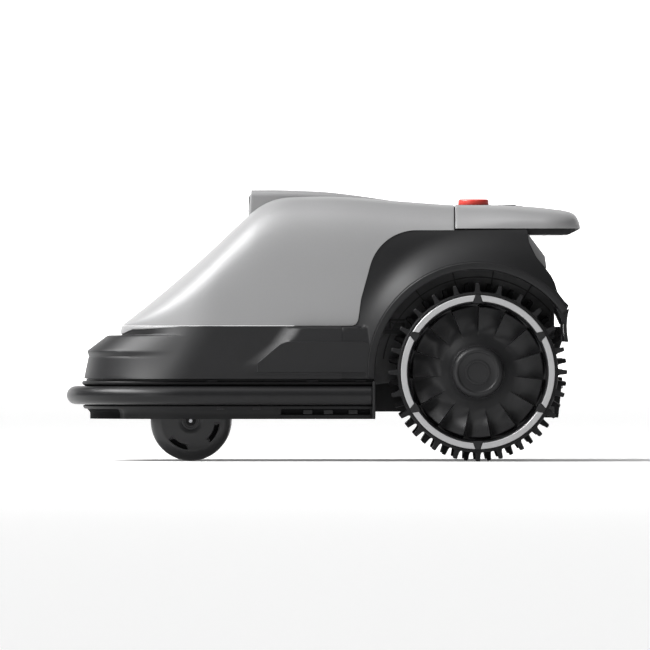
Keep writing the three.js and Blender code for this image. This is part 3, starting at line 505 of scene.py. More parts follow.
# the dark collar round the hood's foot: (share of the way in to the hood, height, step inwards)
collar_face = [
    (0.0, SKIRT_LOW, 0), (0.0, 98.2, 0), (0.11, 121.4, 0), (0.112, 122.6, 0.6), (0.08, 126.4, 0.6),
    (0.08, 127.4, 0), (0.085, 129.2, 0), (0.12, 130.6, 0), (0.58, 145.9, 0), (0.62, 146.9, 0),
    (0.66, 147.3, 0), (0.9, 147.6, 0), (1.0, 147.8, 0), (1.02, 148.6, 0), (1.02, 153.6, 0), (1.02, 157.2, 0),
    (1.02, SKIRT_HIGH, 0.5),
]
collar_back = [(share, z, SKIN) for share, z in (
    (0.0, SKIRT_LOW), (0.0, 98.2), (0.11, 120.5), (0.105, 122), (0.10, 124), (0.11, 125.5), (0.12, 126.5),
    (0.2, 129), (0.54, 141), (0.62, 143.6), (0.68, 144), (0.86, 144.1), (0.98, 144.4), (1.0, 145.4),
    (1.02, 150), (1.02, 154), (1.02, SKIRT_HIGH),
)]


def denser(profile, steps):
    """Extra points between the listed ones: the steps say how many parts each gap has."""
    out = []
    for a, b, n in zip(profile, profile[1:], steps):
        out += [tuple(lerp(u, v, i / n) for u, v in zip(a, b)) for i in range(n)]
    return out + [profile[-1]]


def collar_rows(profile):
    """The profile carried round the nose, turning into a plain slant along the sides."""
    gaps = [max(int((b[1] - a[1]) / 1.6), 1) for a, b in zip(collar_face, collar_face[1:])]
    rows = []
    for o, i in zip(nose_line(SKIRT, SKIRT_REAR, 110), nose_line(HOOD, SKIRT_REAR, 110)):
        level_share = step(o[1], -270, -190)
        row = []
        for share, z, inset in denser(profile, gaps):
            slant = (z - SKIRT_LOW) / (SKIRT_HIGH - SKIRT_LOW)
            t = lerp(share, slant, level_share)
            inset = inset if inset > 1 else inset * (1 - level_share)
            bulge = wall_x(o[1], z) - lerp(SKIRT["half"], HOOD["half"], slant)
            across = lerp(o[0], i[0], t) - o[2] * inset
            row.append((across + math.copysign(bulge, across), lerp(o[1], i[1], t) - o[3] * inset, z))
        rows.append(row)
    return rows


collar_part = shell(collar_rows(collar_face), collar_rows(collar_back))
collar = piece("collar_skin", collar_part, "shell", "chassis", sharp=26)
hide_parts("front_skirt")


def lip_rows(out):
    """The hood's thin lower lip: deepest at the nose, running out along the sides."""
    rows = []
    lip_top = HOOD_BASE - 0.4
    for x, y, nx, ny in nose_line(HOOD, -140, 40):
        fade = step(y, -226, -140)
        low = lerp(lerp(148.6, 154.0, step(y, -238, -221)), 158.0, fade)
        own = lerp(out, 0.3, fade)
        section = ((low, 1.2), (low + 0.5, 0.2), (lerp(low, lip_top, 0.5), 0.1), (lip_top, own + 0.3))
        rows.append([(x + nx * (own - tuck), y + ny * (own - tuck), z) for z, tuck in section])
    return rows


piece("hood_lip", shell(lip_rows(1.0), lip_rows(-1.2)), "silver", "chassis", sharp=60)


def side_curve(share):
    """The cover's half width at a share of its height, as a share of the greatest."""
    return (1 - share**SQUARENESS) ** (1 / SQUARENESS)


def seam_rows(depth):
    """Dark backing behind the joint between the hood and the fender."""
    line = hood_edge()[1:]
    line = line + [(y, EDGE_Z + EDGE_R) for y in np.linspace(EDGE_Y + 6, 236, 24)]
    rows = []
    for k, (y, z) in enumerate(line):
        y0, z0 = line[max(k - 1, 0)]
        y1, z1 = line[min(k + 1, len(line) - 1)]
        size = math.hypot(y1 - y0, z1 - z0)
        ny, nz = (z1 - z0) / size, -(y1 - y0) / size
        row = []
        for d in (-7, -3.5, 0, 3.5, 7):
            py, pz = y + ny * d, max(z + nz * d, HOOD_BASE - 6)
            share = min(max((pz - HOOD_BASE) / (float(hood_top(min(py, SEAM))) - HOOD_BASE), 0), 0.86)
            row.append((HOOD["half"] * side_curve(share) - depth, py, pz))
        rows.append(row)
    return rows


both("seam_backing", shell(seam_rows(3.6), seam_rows(5)), "chassis", "chassis", sharp=40)

# ------------------------------------------------------------------ fenders


def flare(r, z, angle):
    """How far the fender stands out: flush with the hood, then a lip that dies into the side plate."""
    fade = min(max((r - 129) / 38, 0), 1)
    lean = min(max((z - HOOD_BASE) / (float(hood_top(SEAM)) - HOOD_BASE), 0), 0.82)
    flush = (HOOD["half"] + 0.5) * side_curve(lean)
    lip = lerp(FENDER_X, PLATE_X + 0.9, step(math.degrees(angle), 112, 172))
    return lerp(flush, lip, (1 - fade) ** 2.2)


def around_axle(r, a):
    """(y, z) of a point round the drive wheel's axle."""
    c, s = circle(r, a)
    return AXLE[1] + c, AXLE[2] + s


def axle_angle(y, z):
    """Direction of a point as seen from the axle."""
    return math.atan2(z - AXLE[2], y - AXLE[1])


def fender_outline():
    """(y, z) round the fender's outer edge, from its front foot over the arch to the tail."""
    line = [(60.6, SKIRT_LOW), (22, SKIRT_LOW), (22, HOOD_BASE - 0.7)] + hood_edge(0.9)
    line += [(236, 271.3), (238.4, 270.6), (239, 268.5), (240.6, 256.3), (243.4, 248.2), (249.5, 238.4),
             (258.6, 227.6), (266.3, 217.2), (270.6, 208.6), (273.6, 198.2), (279.5, 189.6), (286.8, 182.2),
             (284, 176.6)]
    return line


def reach(angle, line):
    """How far from the axle a ray in the side view meets the fender's outline."""
    dy, dz = math.cos(angle), math.sin(angle)
    best = 1e9
    for (y0, z0), (y1, z1) in zip(line, line[1:]):
        ey, ez = y1 - y0, z1 - z0
        den = dy * ez - dz * ey
        if abs(den) < 1e-9:
            continue
        py, pz = y0 - AXLE[1], z0 - AXLE[2]
        t, s = (py * ez - pz * ey) / den, (py * dz - pz * dy) / den
        if t > 0 and -1e-6 <= s <= 1 + 1e-6:
            best = min(best, t)
    return best


outline = fender_outline()
tip = axle_angle(283.6, 176.2)
bends = {axle_angle(y, z) for y, z in outline if tip < axle_angle(y, z) < math.pi}
angles = sorted(set(np.linspace(tip, math.pi + 0.064, 150)) | bends)
# the arch's bead, as (radius, step outwards)
bead = [(ARCH_R, -1.6), (120.4, -0.6), (121.4, 0), (124, 0.2), (127.6, 0.2), (128.2, -0.6), (129, -0.9)]
bead_end = 129.6


def fender_rows(inset):
    """One row of points outwards from the arch for each angle round the axle."""
    rows = []
    for a in angles:
        far = reach(a, outline)
        if far > 1e8:
            continue
        row = [(min(r, far), dx) for r, dx in bead]
        row += [(lerp(min(bead_end, far), far, s**1.15), 0) for s in np.linspace(0, 1, 40)]
        out = []
        for r, dx in row:
            y, z = around_axle(r, a)
            z = max(z, SKIRT_LOW)
            x = flare(r, z, a)
            x = max(x, wall_x(y, min(z, SKIRT_HIGH))) if z < HOOD_BASE + 2 else x
            out.append((x + (dx if inset == 0 else 0) - inset, y, z))
        rows.append(out)
    return rows


fender_part = shell(fender_rows(0), fender_rows(SKIN))
arc = [around_axle(ARCH_R + 3, a) for a in np.linspace(tip, math.pi, 60)]
arc += [around_axle(ARCH_R, a) for a in np.linspace(math.pi, tip, 60)]
lining = prism(arc, 116.6, 189, "x")
for q in lining[0]:
    if q[0] > 150:
        q[0] = flare(ARCH_R, q[2], axle_angle(q[1], q[2])) - 1.6
heel = prism([(238.4, 266), (240.6, 256.3), (249.5, 238.4), (266.3, 217.2), (273.6, 198.2), (285, 184),
              (280, 184), (270.4, 197.2), (263.5, 215.6), (246.6, 237), (237.6, 255.4), (235.4, 266)],
             116.6, 155, "x")
# the fenders take the darker plastic above: painted shade
fender_l, fender_r = both("fender_skin", fender_part, "painted_shade_fender_plastic", "chassis", slot="shell", sharp=34)
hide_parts("fender_left")
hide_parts("fender_right")
both("arch_lining", together(lining, heel), "chassis", "chassis", bevel=0.5)

cheek = prism([(236, 266), (240.4, 265.4), (259.4, 240), (261.4, 226.5), (256, 222), (237, 258)],
              116.4, 147, "x")
both("tail_cheek", cheek, "silver", "chassis", bevel=0.8)


def arch_sector(inner, outer, start, end, rear):
    """Part of a ring round the axle, in (y, z), cut off level at the rear."""
    line = [around_axle(outer, t) for t in np.linspace(start, end, 90)]
    line += [around_axle(inner, t) for t in np.linspace(end, start, 90)]
    return [(min(y, rear), z) for y, z in line]


# the arch's inner wall, coloured lighter than its black plastic: painted light in the shade under the fender
wall = prism(arch_sector(84, 121.4, math.radians(-24), math.radians(187), 270.8), 117, WALL_X, "x")
both("arch_wall", wall, "painted_light_liner", "chassis", slot="chassis", bevel=0.3)
arch_ribs = [prism(arch_sector(110.5, 112, math.radians(34), math.radians(172), 268), WALL_X, 121.4, "x")]
for degrees in (58, 81, 104, 127, 150):
    t = math.radians(degrees)
    arch_ribs.append(prism(arch_sector(96, 121, t - 0.006, t + 0.006, 270), WALL_X, 121.6, "x"))
arch_ribs += [
    block((WALL_X, 123), (72, 92), (149.2, 153.8)), block((WALL_X, 122.6), (77, 79.6), (155.6, 166)),
    block((WALL_X, 122.6), (77, 96), (164.4, 166.6)), block((WALL_X, 121.8), (84, 95), (156.6, 162)),
]
both("arch_ribs", together(*arch_ribs), "shell", "chassis", bevel=0.25)
hook = prism([(262.2, 156), (273, 156), (279.6, 150), (279.6, 139), (275.4, 127), (262.2, 127)], 94, 112, "x")
hook_pad = prism([(270, 157.6), (277, 157.6), (280.6, 153), (280.6, 148), (276, 148), (276, 152)],
                 90, 115, "x")
both("tail_hook", together(hook, hook_pad), "shell", "chassis", bevel=0.8)

plate_line = [(-77, 104), (-77, 115), (-50.6, 137), (-42, 140), (46, 140), (56.4, 136), (57.4, 131),
              (57.4, 104)]
both("side_plate", prism(plate_line, 163.5, PLATE_X, "x"), "shell", "chassis", bevel=0.7, angle=25)

# ------------------------------------------------------------------ camera


def camera_rows():
    """Upside-down U sections of the camera's housing, from its rounded face to the rear."""
    ys = stations((-88, -84, 10), (-84, 60, 60), (60, 92, 12))
    rows = []
    for y in ys:
        u = min(max((y + 88) / 4, 0), 1)
        inset = 4 * (1 - math.sqrt(max(1 - (1 - u) ** 2, 0)))
        top = float(camera_top(max(y, -83))) - inset
        half = 60 - inset
        low = float(hood_top(y)) - 12
        r = 7 - inset * 0.4
        row = [(half, low), (half, lerp(low, top - r, 0.5))]
        bend = [circle(r, a) for a in np.linspace(0, math.pi / 2, 9)]
        row += [(half - r + c, top - r + s) for c, s in bend]
        row += [(x, top) for x in np.linspace(half - r, r - half, 20)[1:-1]]
        row += [(r - half - s, top - r + c) for c, s in bend]
        row += [(-half, lerp(low, top - r, 0.5)), (-half, low)]
        lean = 0.0 if y > -84 else 1.0
        rows.append([(x, y + lean * (z - 290) * 0.1 * (1 - u), z - 1.4 * (x / 60) ** 2) for x, z in row])
    return rows


rows = camera_rows()
p, f = grid(rows)
f.append(tuple(range(len(rows[0]) - 1, -1, -1)))
housing = piece("camera_cover", (p, f), "silver", "chassis", sharp=50)
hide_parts("camera_housing")


def upright(part, low_y, high_y, low_z, high_z):
    """Leans a front-facing part like the housing's face."""
    p, f = part
    p = np.array(p, float)
    p[:, 1] += (p[:, 2] - low_z) / (high_z - low_z) * (high_y - low_y)
    return p, f


window = prism([(z, x) for x, z in round_box(52, 10.6, 6)], -88.4, -80, "y", (0, 0, 302.6))
window = upright(window, 0, 2.3, 291, 314)
glass = piece("camera_glass", window, "lens", "chassis", bevel=0.6)
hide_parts("camera_window")
for side, s in (("left", 1), ("right", -1)):
    at = (28 * s, 0.6, 302.5)
    ring = revolve([(6.6, -88.3), (8.2, -88.3), (9, -87.4), (9, -82), (6.6, -82)], "y", at, 64)
    dome = revolve([(6.6, -85), (6.6, -87.2), (5, -87.9), (2.6, -88.3), (1e-3, -88.4), (1e-3, -85)],
                   "y", at, 64)
    bezel = piece(f"lens_ring_{side}", ring, "wheel_plastic", "chassis")
    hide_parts(f"camera_lens_{side}")
    piece(f"lens_dome_{side}", dome, "dark_glass", "chassis", slot="lens")
piece("front_lamp", disc(2.6, -87.5, -84, "y", (0, 0, 302.5), 32), "dark_glass", "chassis", slot="lens")

# ------------------------------------------------------------------ controls

cap = revolve(
    [(1e-3, 280), (8, 280), (8, 299), (17.3, 299), (18, 299.7), (18, 305.4), (17.7, 306.6), (16.9, 307.4),
     (15.6, 307.7), (13, 307.7), (9, 307.3), (1e-3, 307.1)], "z", (0, BUTTON_Y, 0), 96)
stop = piece("stop_cap", cap, "red", "stop_push", sharp=50)
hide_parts("stop_button")
stop_ring = revolve([(18.6, 296), (21.6, 296), (21.6, 300.6), (21, 301.1), (19.2, 301.1), (18.6, 300.6)],
                    "z", (0, BUTTON_Y, 0), 96)
piece("stop_collar", stop_ring, "shell", "chassis")


def on_deck(part, lift):
    """Lays a level part on the sloping deck, its top a little above it."""
    p, f = part
    p = np.array(p, float)
    p[:, 2] += [float(deck_top(y)) + lift for y in p[:, 1]]
    return p, f


plate = prism(round_box(41.5, 14.5, 6), -5, 0, "z", (0, KEY_Y, 0))
panel = piece("keypad_face", on_deck(plate, 0.25), "shell", "chassis", bevel=0.5)
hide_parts("keypad_panel")
for name, i in (("home", -1), ("start", 0), ("power", 1)):
    x = i * KEY_PITCH
    top = revolve([(1e-3, 296.3), (6.5, 296.3), (6.5, 300.7), (6.2, 301.1), (5.4, 301.2), (1e-3, 300.9)], "z",
                  (x, KEY_Y, 0), 48)
    key = piece(f"{name}_cap", top, "key", f"{name}_push", sharp=50)
    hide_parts(f"{name}_key")
    well = on_deck(revolve([(6.9, -0.4), (8.4, -0.4), (8.4, 0.5), (6.9, 0.5)], "z", (x, KEY_Y, 0), 48), 0)
    piece(f"{name}_well", well, "chassis", "chassis")
lamps = together(*[disc(0.9, -0.4, 0.45, "z", (x, KEY_Y + 10.6, 0), 16, 0.2)
                   for x in (-31, -26, -21, 21, 26, 31)])
piece("status_lamps", on_deck(lamps, 0), "mark", "chassis", slot="trim")

# ------------------------------------------------------------------ handle, rear panel, flaps

rounded = {
    1.2: ("handle_base",),
    0.6: ("rear_panel", "chassis_tub", "mud_flap_left", "mud_flap_right", "cutter_carriage"),
    0.25: ("blade_1", "blade_2", "blade_3", "cutting_disc", "charge_contact_left", "charge_contact_right",
           "caster_arm_left", "caster_arm_right", "height_bridge", "battery_pack", "control_board"),
}
for width, names in rounded.items():
    for name in names:
        finish_edges(frame["nodes"][name], width)


def screw(centre, axis, facing, r=3.2):
    """A cross-head screw whose face is at the centre and looks along the axis, forwards or back."""
    s = facing
    profile = [(1e-3, -2.2 * s), (r, -2.2 * s), (r, -0.5 * s), (r * 0.8, 0), (1e-3, 0)]
    head = revolve(profile, axis, centre, 24)
    if s < 0:
        head = (head[0], [tuple(reversed(f)) for f in head[1]])
    # the cross is a thin dark plate laid on the head's face: painted shade in place of a cut recess
    slots = []
    for w, h in ((r * 0.55, r * 0.14), (r * 0.14, r * 0.55)):
        bar = [(-w, -h), (w, -h), (w, h), (-w, h)]
        slots.append(prism(bar, min(0, 0.12 * s), max(0, 0.12 * s), axis, centre))
    return head, together(*slots)


def screws(name, spots, body="chassis"):
    """One piece with the heads and one with their crosses, whose dark colour is painted shade, for screws
    that sit on one body.
    """
    heads, slots = zip(*[screw(*spot) for spot in spots])
    piece(f"{name}_heads", together(*heads), "steel", body)
    piece(f"{name}_slots", together(*slots), "chassis", body)


handle_spots = ((128, 262), (100, 279), (120, 200))
floor_spots = ((104, 100), (104, 250), (146, 20), (146, -60), (52, 250), (60, 136))
screws("handle_screws", [((s * x, y, 265.5), "z", -1) for s in (1, -1) for x, y in handle_spots])
screws("heel_screws", [((s * x, 281.2, 88), "y", 1, 3) for s in (1, -1) for x in (30, 92)])
screws("floor_screws", [((s * x, y, 57.9), "z", -1) for s in (1, -1) for x, y in floor_spots])

brace = prism([(271.6, 179.5), (286.4, 177.6), (283.6, 170.5), (282, 160.5), (280.6, 160.5), (276.6, 169.5)],
              126, 185.4, "x")
both("flap_brace", brace, "chassis", "chassis", bevel=0.5)

# ------------------------------------------------------------------ bumper

line = nose_line(FRAME, 57.2)
ring = [circle(TUBE_R, a) for a in np.linspace(0, 2 * math.pi, 36, endpoint=False)]
ring = [(TUBE_R + 0.3 + out, up) for out, up in ring]
tube = piece("bumper_hose", sweep(line, [ring] * len(line)), "soft_rubber", "bumper", bevel=1.2, angle=60)
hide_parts("bumper_tube")

rail = [(-3, -27.5), (-3, -22.7), (-3, -22.3), (-2.8, -20.4), (-2.4, -19.2), (0.3, -16), (0.6, -15.6),
        (1.8, -14.2), (2.5, -13), (2.3, -12), (0, -11), (0, 10.6), (0.6, 11.6), (3.1, 13), (3.5, 14),
        (3.5, 15.4), (2.6, 16.5), (-1.5, 16.5), (-1.5, 19.1), (-4.5, 19.1), (-4.5, -14), (-7.5, -20),
        (-7.5, -27.5)]


def rail_section(y):
    """The rail's section: its lower face is set back in a slot on each side and in a bay at the nose."""
    slot = step(y, -50, -48) * step(-y, -56, -54.5)
    bay = 1 - step(y, -240, -234)
    section = []
    for k, (out, up) in enumerate(rail):
        inside = k in (2, 3, 4, 5)
        low = k in (0, 1)
        depth = 3.2 * max(slot * inside, bay * (inside or low))
        section.append((max(out - depth, -6.6), up))
    return section


path = nose_line(FRAME, 58, 120)
rail_part = sweep(path, [rail_section(y) for _, y, _, _ in path])
# the rail takes the darker plastic above: painted shade
rail_piece = piece("bumper_rail", rail_part, "painted_shade_rail_plastic", "bumper", slot="shell", sharp=30)
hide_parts("bumper_frame")
# painted shade: dark strips just in front of the set-back face, in the side slots and in the bay
slope = [(-5.4, -19.2), (-2.8, -16.2), (-3.6, -16.2), (-6.1, -19.2)]
hollow = [(-6.0, -22.2), (-5.8, -20.4)] + slope + [(-6.5, -20.4), (-6.5, -22.2)]
bay = [(-5.9, -27.4), (-5.9, -20.4)] + slope + [(-6.7, -20.4), (-6.7, -27.4)]
side = [q for q in path if q[0] > 0 and -48 < q[1] < 55]
nose = [q for q in path if q[1] < -240]
slot_shade_fill = sweep(side, [hollow] * len(side))
piece("rail_slot_shade", together(slot_shade_fill, mirrored(slot_shade_fill)), "painted_shade", "bumper", slot="chassis")
piece("rail_bay_shade", sweep(nose, [bay] * len(nose)), "painted_shade", "bumper", slot="chassis")
ends = [block(x, (57.5, 61), (49.5, 93.5)) for x in ((-193, -158.5), (158.5, 193))]
pins = [disc(3, 20, 59, "y", (s * 161.5, 0, 76), 24) for s in (1, -1)]
pins += [disc(4, -276, -244, "y", (s * 30, 0, TUBE_Z), 24) for s in (1, -1)]
piece("bumper_ends", together(*ends), "shell", "bumper", bevel=1.2)
piece("bumper_pins", together(*pins), "steel", "bumper")


def along_bumper(spots, out, z, size):
    """Small blocks on the bumper's left side at the given places, and their mirror images."""
    parts = []
    for y in spots:
        b = block((FRAME["half"] + out[0], FRAME["half"] + out[1]), (y - size / 2, y + size / 2), z)
        parts += [b, mirrored(b)]
    return together(*parts)


piece("bumper_ribs", along_bumper((-18, 6, 35), (-6, -2.2), (55.4, 60.4), 10.7), "shell", "bumper", bevel=0.6)
piece("bumper_feet", along_bumper((-130, -12, 44), (-3, 3.2), (93.2, 95.6), 12), "chassis", "bumper",
      bevel=0.4)
piece("bumper_clips", along_bumper((-120, -78), (0.5, 3.5), (60.5, 64.5), 9), "shell", "bumper", bevel=0.4)

# ------------------------------------------------------------------ drive wheels


def turned(r, t, angle):
    """A point at radius r and t to one side, turned by the angle."""
    c, s = math.cos(angle), math.sin(angle)
    return r * c - t * s, r * s + t * c


def lug(angle, low, high, skew):
    """A tapered tread block, its crest turned a little from one side of the tyre to the other."""
    flank = [(TYRE_R, 5), (94.2, 3.7), (96, 2.8), (102.8, 2.2), (104.1, 1.9), (AXLE[2], 1.3)]
    rows = []
    for x, shift, shrink in ((low, -skew, 0.9), (low + 1, -skew, 1), (high - 1, skew, 1), (high, skew, 0.9)):
        own = [(TYRE_R + (r - TYRE_R) * (shrink if r > 94 else 1), half) for r, half in flank]
        section = [(r, half + shift) for r, half in own] + [(r, shift - half) for r, half in reversed(own)]
        rows.append([(*turned(r, t, angle), x) for r, t in section])
    p, f = grid(rows, wrap_columns=True, flip=True)
    n, m = len(rows), len(rows[0])
    f += [tuple(range(m)), tuple(range(n * m - 1, (n - 1) * m - 1, -1))]
    return place(p, "x", AXLE), f


def tyre_part():
    """The carcass with two rows of lugs, the inner row half a pitch on."""
    carcass = revolve(
        [(88.2, -31), (92, -31), (93.4, -29.6), (94, -27), (94, 27), (93.6, 30), (93.2, 33), (92.2, 34),
         (90.4, 34), (90.3, 31), (88.2, 31)], "x", AXLE, 192)
    blocks = []
    for i in range(LUGS):
        a = 2 * math.pi * i / LUGS
        blocks.append(lug(a, 1.2, 33, 0.5))
        blocks.append(lug(a + math.pi / LUGS, -31, -1.2, -0.5))
    return together(carcass, *blocks)


tyre_l, tyre_r = both("tread", tyre_part(), "tyre_rubber", "drive_wheel_*", sharp=40)
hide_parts("tyre_left")
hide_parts("tyre_right")

dish = spline_height(
    [(24, 27), (28.6, 26.9), (31, 25.6), (35, 21.6), (41, 17.2), (48, 13.2), (56, 10), (66, 8.6),
     (74, 8.6), (78.6, 9.4), (80.2, 13), (81.4, 31), (82.6, 34), (84, 34)]
)


def dish_part():
    """The rim's hollow face with its slanted vanes, each rising and falling away round the axle."""
    around = VANES * 48
    radii = stations((26, 31.5, 5), (31.5, 44, 14), (44, 76, 34), (76, 79, 8), (79, 82.6, 12))
    rows = []
    for i in range(around):
        a = 2 * math.pi * i / around
        row = []
        for r in radii:
            phase = ((math.pi / 2 - a) * VANES / (2 * math.pi)) % 1
            leaf = step(r, 42, 70) * (1 - step(r, 76, 78.8))
            x = float(dish(r)) + leaf * 14.5 * (1 - phase) ** 1.4 * step(phase, 0, 0.04)
            row.append((*circle(r, a), x))
        rows.append(row)
    p, f = grid(rows, wrap_rows=True, flip=True)
    return place(p, "x", AXLE), f


barrel = revolve(
    [(82.6, 34), (90, 34), (90, 31.3), (88, 31.3), (88, -31), (84.6, -31), (84.6, 4), (72, 3), (56, 3),
     (34, 3), (16, 2), (16, -22), (8.3, -22), (8.3, 25), (26, 25), (26, 27)], "x", AXLE, 144, closed=False)
both("rim_dish", dish_part(), "wheel_plastic", "drive_wheel_*", sharp=60)
rim_l, rim_r = both("rim_barrel", barrel, "wheel_plastic", "drive_wheel_*", sharp=35)
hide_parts("rim_left")
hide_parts("rim_right")


def stone(angle):
    """The tapered block between two parts of the trim ring."""
    wedge = [(80.5, 5.0), (82.4, 5.1), (90.2, 2.6), (90.2, -2.6), (82.4, -5.1), (80.5, -5.0)]
    return prism([turned(r, t, angle) for r, t in wedge], 33, 36.3, "x", AXLE)


def trim_segment(angle):
    """One part of the trim ring, from this stone to the next, with gaps that narrow outwards."""
    section = [(TRIM_IN, 34.2), (TRIM_IN, 35.6), (83.5, 36.1), (89.2, 36.1), (TRIM_OUT, 35.6),
               (TRIM_OUT, 34.2)]
    after = angle + 2 * math.pi / TRIM_PARTS
    steps = 32
    rows = []
    for k in range(steps + 1):
        row = []
        for r, x in section:
            gap = lerp(5.7 / 83, 3.2 / 90, (r - TRIM_IN) / (TRIM_OUT - TRIM_IN))
            row.append((*circle(r, lerp(angle + gap, after - gap, k / steps)), x))
        rows.append(row)
    p, f = capped(rows)
    return place(p, "x", AXLE), f


stone_angles = [math.pi / 6 + 2 * math.pi * i / TRIM_PARTS for i in range(TRIM_PARTS)]
stones = [stone(a) for a in stone_angles]
segments = [trim_segment(a) for a in stone_angles]
both("rim_stones", together(*stones), "wheel_plastic", "drive_wheel_*", bevel=0.4)
trim_l, trim_r = both("trim_segments", together(*segments), "trim", "drive_wheel_*", sharp=30)
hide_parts("trim_ring_left")
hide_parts("trim_ring_right")

hub = revolve(
    [(1e-3, 26.3), (31, 26.3), (31, 27.4), (30.6, 30.8), (29.6, 33.4), (27.9, 35.6), (26.4, 36.8),
     (25.2, 37.4), (24.2, 37.5), (23.4, 37.0), (22.8, 35.8), (22.2, 35.4), (14.6, 35.2), (14.2, 35.9),
     (13.2, 36.1), (12.2, 35.9), (11.8, 35.2), (1e-3, 35.3)], "x", AXLE, 128)
hub_l, hub_r = both("hub_dome", hub, "wheel_plastic", "drive_wheel_*", sharp=40)
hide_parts("hub_cap_left")
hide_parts("hub_cap_right")

# ------------------------------------------------------------------ casters


def caster_face(sign):
    """One face of the caster's wheel, from its bore to the middle of its tread, with four curved slots."""
    rows = []
    radii = [9, 10.4, 11, 16, 22, 26.6, 28.2, 28.8, 31, 33.6, 34.2, 35.4, 37.4, 39.6, 41.8, 43.6, 45.2, 46.3,
             46.9, 47.2]
    shoulder = spline_height(
        [(9, 17), (30, 17), (35.4, 17), (39.6, 15.8), (43, 13.4), (45.4, 10.4), (46.8, 7), (47.2, 3)]
    )
    around = 360
    for i in range(around):
        a = 2 * math.pi * i / around
        off = min(abs((math.degrees(a) - middle + 180) % 360 - 180) for middle in CASTER_SLOTS)
        row = []
        for r in radii:
            slot = 3.2 if off < 21.5 and 28.5 < r < 34 else 0
            groove = 0.5 if 10.2 < r < 10.8 else 0
            row.append((*circle(r, a), sign * (float(shoulder(r)) - slot - groove)))
        rows.append(row)
    p, f = grid(rows, wrap_rows=True, flip=sign > 0)
    return place(p, "x", CASTER), f


tread = revolve([(47.2, -3), (47.2, 3)], "x", CASTER, 360, closed=False)
boss = revolve([(4.4, -17), (9, -17)], "x", CASTER, 48, closed=False)
front = revolve([(9, 17), (8.6, 14.6), (4.4, 14.5)], "x", CASTER, 48, closed=False)
roller = together(caster_face(1), caster_face(-1), tread, boss, front)
# the caster takes the lighter plastic above: painted light
roller_l, roller_r = both("caster_tyre", roller, "painted_light_caster_plastic", "caster_roller_*", slot="wheel_plastic",
                          sharp=40)
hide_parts("caster_wheel_left")
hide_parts("caster_wheel_right")

# near-black plates at the bottom of the caster's curved slots: painted shade
slots = []
for middle in CASTER_SLOTS:
    a0, a1 = math.radians(middle - 21), math.radians(middle + 21)
    ring = [circle(33.8, t) for t in np.linspace(a0, a1, 14)]
    ring += [circle(28.9, t) for t in np.linspace(a1 - 0.1, a0 + 0.1, 14)]
    slots.append(prism(ring, 13.6, 14.4, "x", CASTER))
both("caster_slot_shade", together(*slots), "painted_shade", "caster_roller_*", slot="wheel_plastic")
bolt = revolve(
    [(1e-3, 17.5), (2.4, 17.6), (2.6, 18.2), (4.6, 18.3), (5.8, 17.4), (6, 15), (4, 15), (4, -28),
     (1e-3, -28)], "x", CASTER, 48)
bolt_l, bolt_r = both("axle_bolt", bolt, "chassis", "caster_swivel_*", slot="steel")
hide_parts("caster_axle_left")
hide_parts("caster_axle_right")
both("axle_centre", disc(2.2, 17.6, 18.5, "x", CASTER, 24, 0.2), "steel", "caster_swivel_*")

# ------------------------------------------------------------------ underside details

ribs = [block((-1.2, 1.2), (96, 258), (54.5, 58.2)), block((-100, 100), (150, 152), (55, 58.2)),
        block((-100, 100), (210, 212), (55, 58.2))]
ribs += [block((s * 128 - 1, s * 128 + 1), (-30, 52), (55.5, 58.2)) for s in (1, -1)]
piece("floor_ribs", together(*ribs), "chassis", "chassis", bevel=0.4)
hatch = prism(round_box(52, 34, 6), 56.6, 58.2, "z", (0, 182, 0))
piece("battery_hatch", hatch, "chassis", "chassis", bevel=0.5)
disc_spots = [circle(14, a) for a in (0.5, 2.6, 4.7)]
screws("disc_screws", [((x, 8 + y, 62.9), "z", -1, 2.4) for x, y in disc_spots], "skid")

# ------------------------------------------------------------------ stage


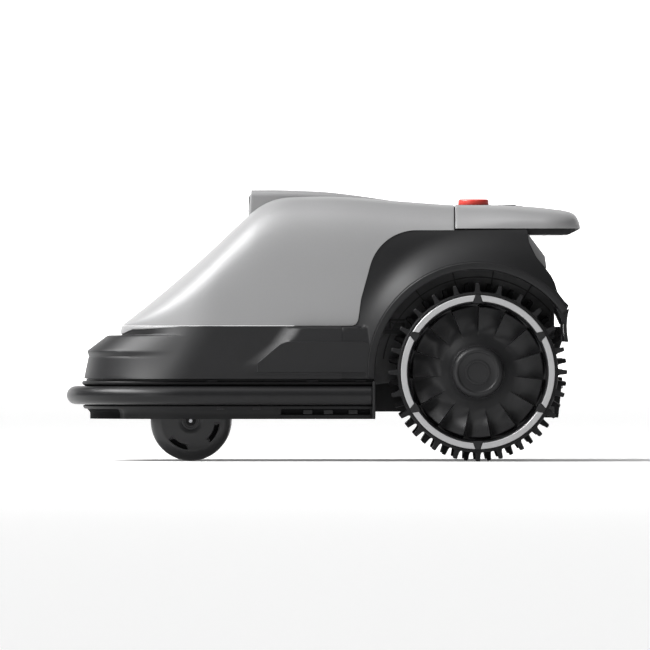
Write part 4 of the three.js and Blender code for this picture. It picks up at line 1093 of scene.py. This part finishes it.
def stage_plane(name, corners, level, glow, painted_shade_radius=None):
    """A matt surface with a soft glow. Given a distance, the glow is weaker out to it: a painted shadow pool
    round the machine.
    """
    data = bpy.data.meshes.new(name)
    data.from_pydata(corners, [], [(0, 1, 2, 3)])
    obj = bpy.data.objects.new(name, data)
    m = bpy.data.materials.new(name)
    m.use_nodes = True
    nodes, links = m.node_tree.nodes, m.node_tree.links
    shader = nodes["Principled BSDF"]
    shader.inputs["Base Color"].default_value = (level, level, level, 1)
    shader.inputs["Roughness"].default_value = 0.9
    shader.inputs["Specular IOR Level"].default_value = 0.1
    shader.inputs["Emission Color"].default_value = (1, 1, 1, 1)
    shader.inputs["Emission Strength"].default_value = glow
    if painted_shade_radius:
        place_at = nodes.new("ShaderNodeTexCoord")
        distance = nodes.new("ShaderNodeVectorMath")
        distance.operation = "LENGTH"
        rise = nodes.new("ShaderNodeMapRange")
        rise.interpolation_type = "SMOOTHSTEP"
        rise.inputs["From Min"].default_value = painted_shade_radius
        rise.inputs["From Max"].default_value = painted_shade_radius * 4
        rise.inputs["To Min"].default_value = glow * 0.3
        rise.inputs["To Max"].default_value = glow
        links.new(place_at.outputs["Object"], distance.inputs[0])
        links.new(distance.outputs["Value"], rise.inputs["Value"])
        links.new(rise.outputs["Result"], shader.inputs["Emission Strength"])
    data.materials.append(m)
    bpy.context.scene.collection.objects.link(obj)


# the floor glows less round the machine: a painted shadow pool at its feet
stage_plane("floor", [(-60, -60, 0), (60, -60, 0), (60, 60, 0), (-60, 60, 0)], 0.7, glow=0.5, painted_shade_radius=0.7)
stage_plane("backdrop", [(-30, -30, -0.2), (-30, 30, -0.2), (-30, 30, 12), (-30, -30, 12)], 0.9, glow=1.0)


def lamp(name, kind, start, aim, power, size=None, angle=None):
    """An area light of the given size, or a sun of the given angle, that looks at its aim."""
    data = bpy.data.lights.new(name, kind)
    data.energy = power
    if kind == "AREA":
        data.shape = "RECTANGLE"
        data.size, data.size_y = size
    else:
        data.angle = math.radians(angle)
    obj = bpy.data.objects.new(name, data)
    obj.location = start
    obj.rotation_mode = "QUATERNION"
    obj.rotation_quaternion = (Vector(aim) - Vector(start)).to_track_quat("-Z", "Y")
    bpy.context.scene.collection.objects.link(obj)


lamp("sky_light", "SUN", (0.35, -0.8, 2.3), (0, 0, 0), 1.15, angle=50)
lamp("corner_light", "AREA", (1.5, -2.0, 2.2), (0, -0.15, 0.2), 50, size=(1.8, 1.2))
lamp("nose_light", "AREA", (0.1, -2.2, 2.3), (0, -0.1, 0.2), 150, size=(2.0, 1.2))
lamp("ramp_light", "AREA", (2.5, -1.9, 0.5), (0, -0.1, 0.12), 10, size=(0.7, 0.7))
lamp("side_light", "SUN", (2.6, 1.6, 1.9), (0, 0, 0), 0.35, angle=20)

world = bpy.data.worlds.new("studio")
world.use_nodes = True
world.node_tree.nodes["Background"].inputs["Color"].default_value = (1, 1, 1, 1)
world.node_tree.nodes["Background"].inputs["Strength"].default_value = 0.14
bpy.context.scene.world = world
bpy.context.scene.view_settings.view_transform = "Standard"

view = bpy.data.cameras.new("camera")
view.sensor_width = 36
view.lens = 946.7
view.clip_end = 200
camera = bpy.data.objects.new("camera", view)
camera.location = (20.15, 0.00205, 0.1595)
camera.rotation_euler = (math.radians(90), 0, math.radians(90))
bpy.context.scene.collection.objects.link(camera)
bpy.context.scene.camera = camera
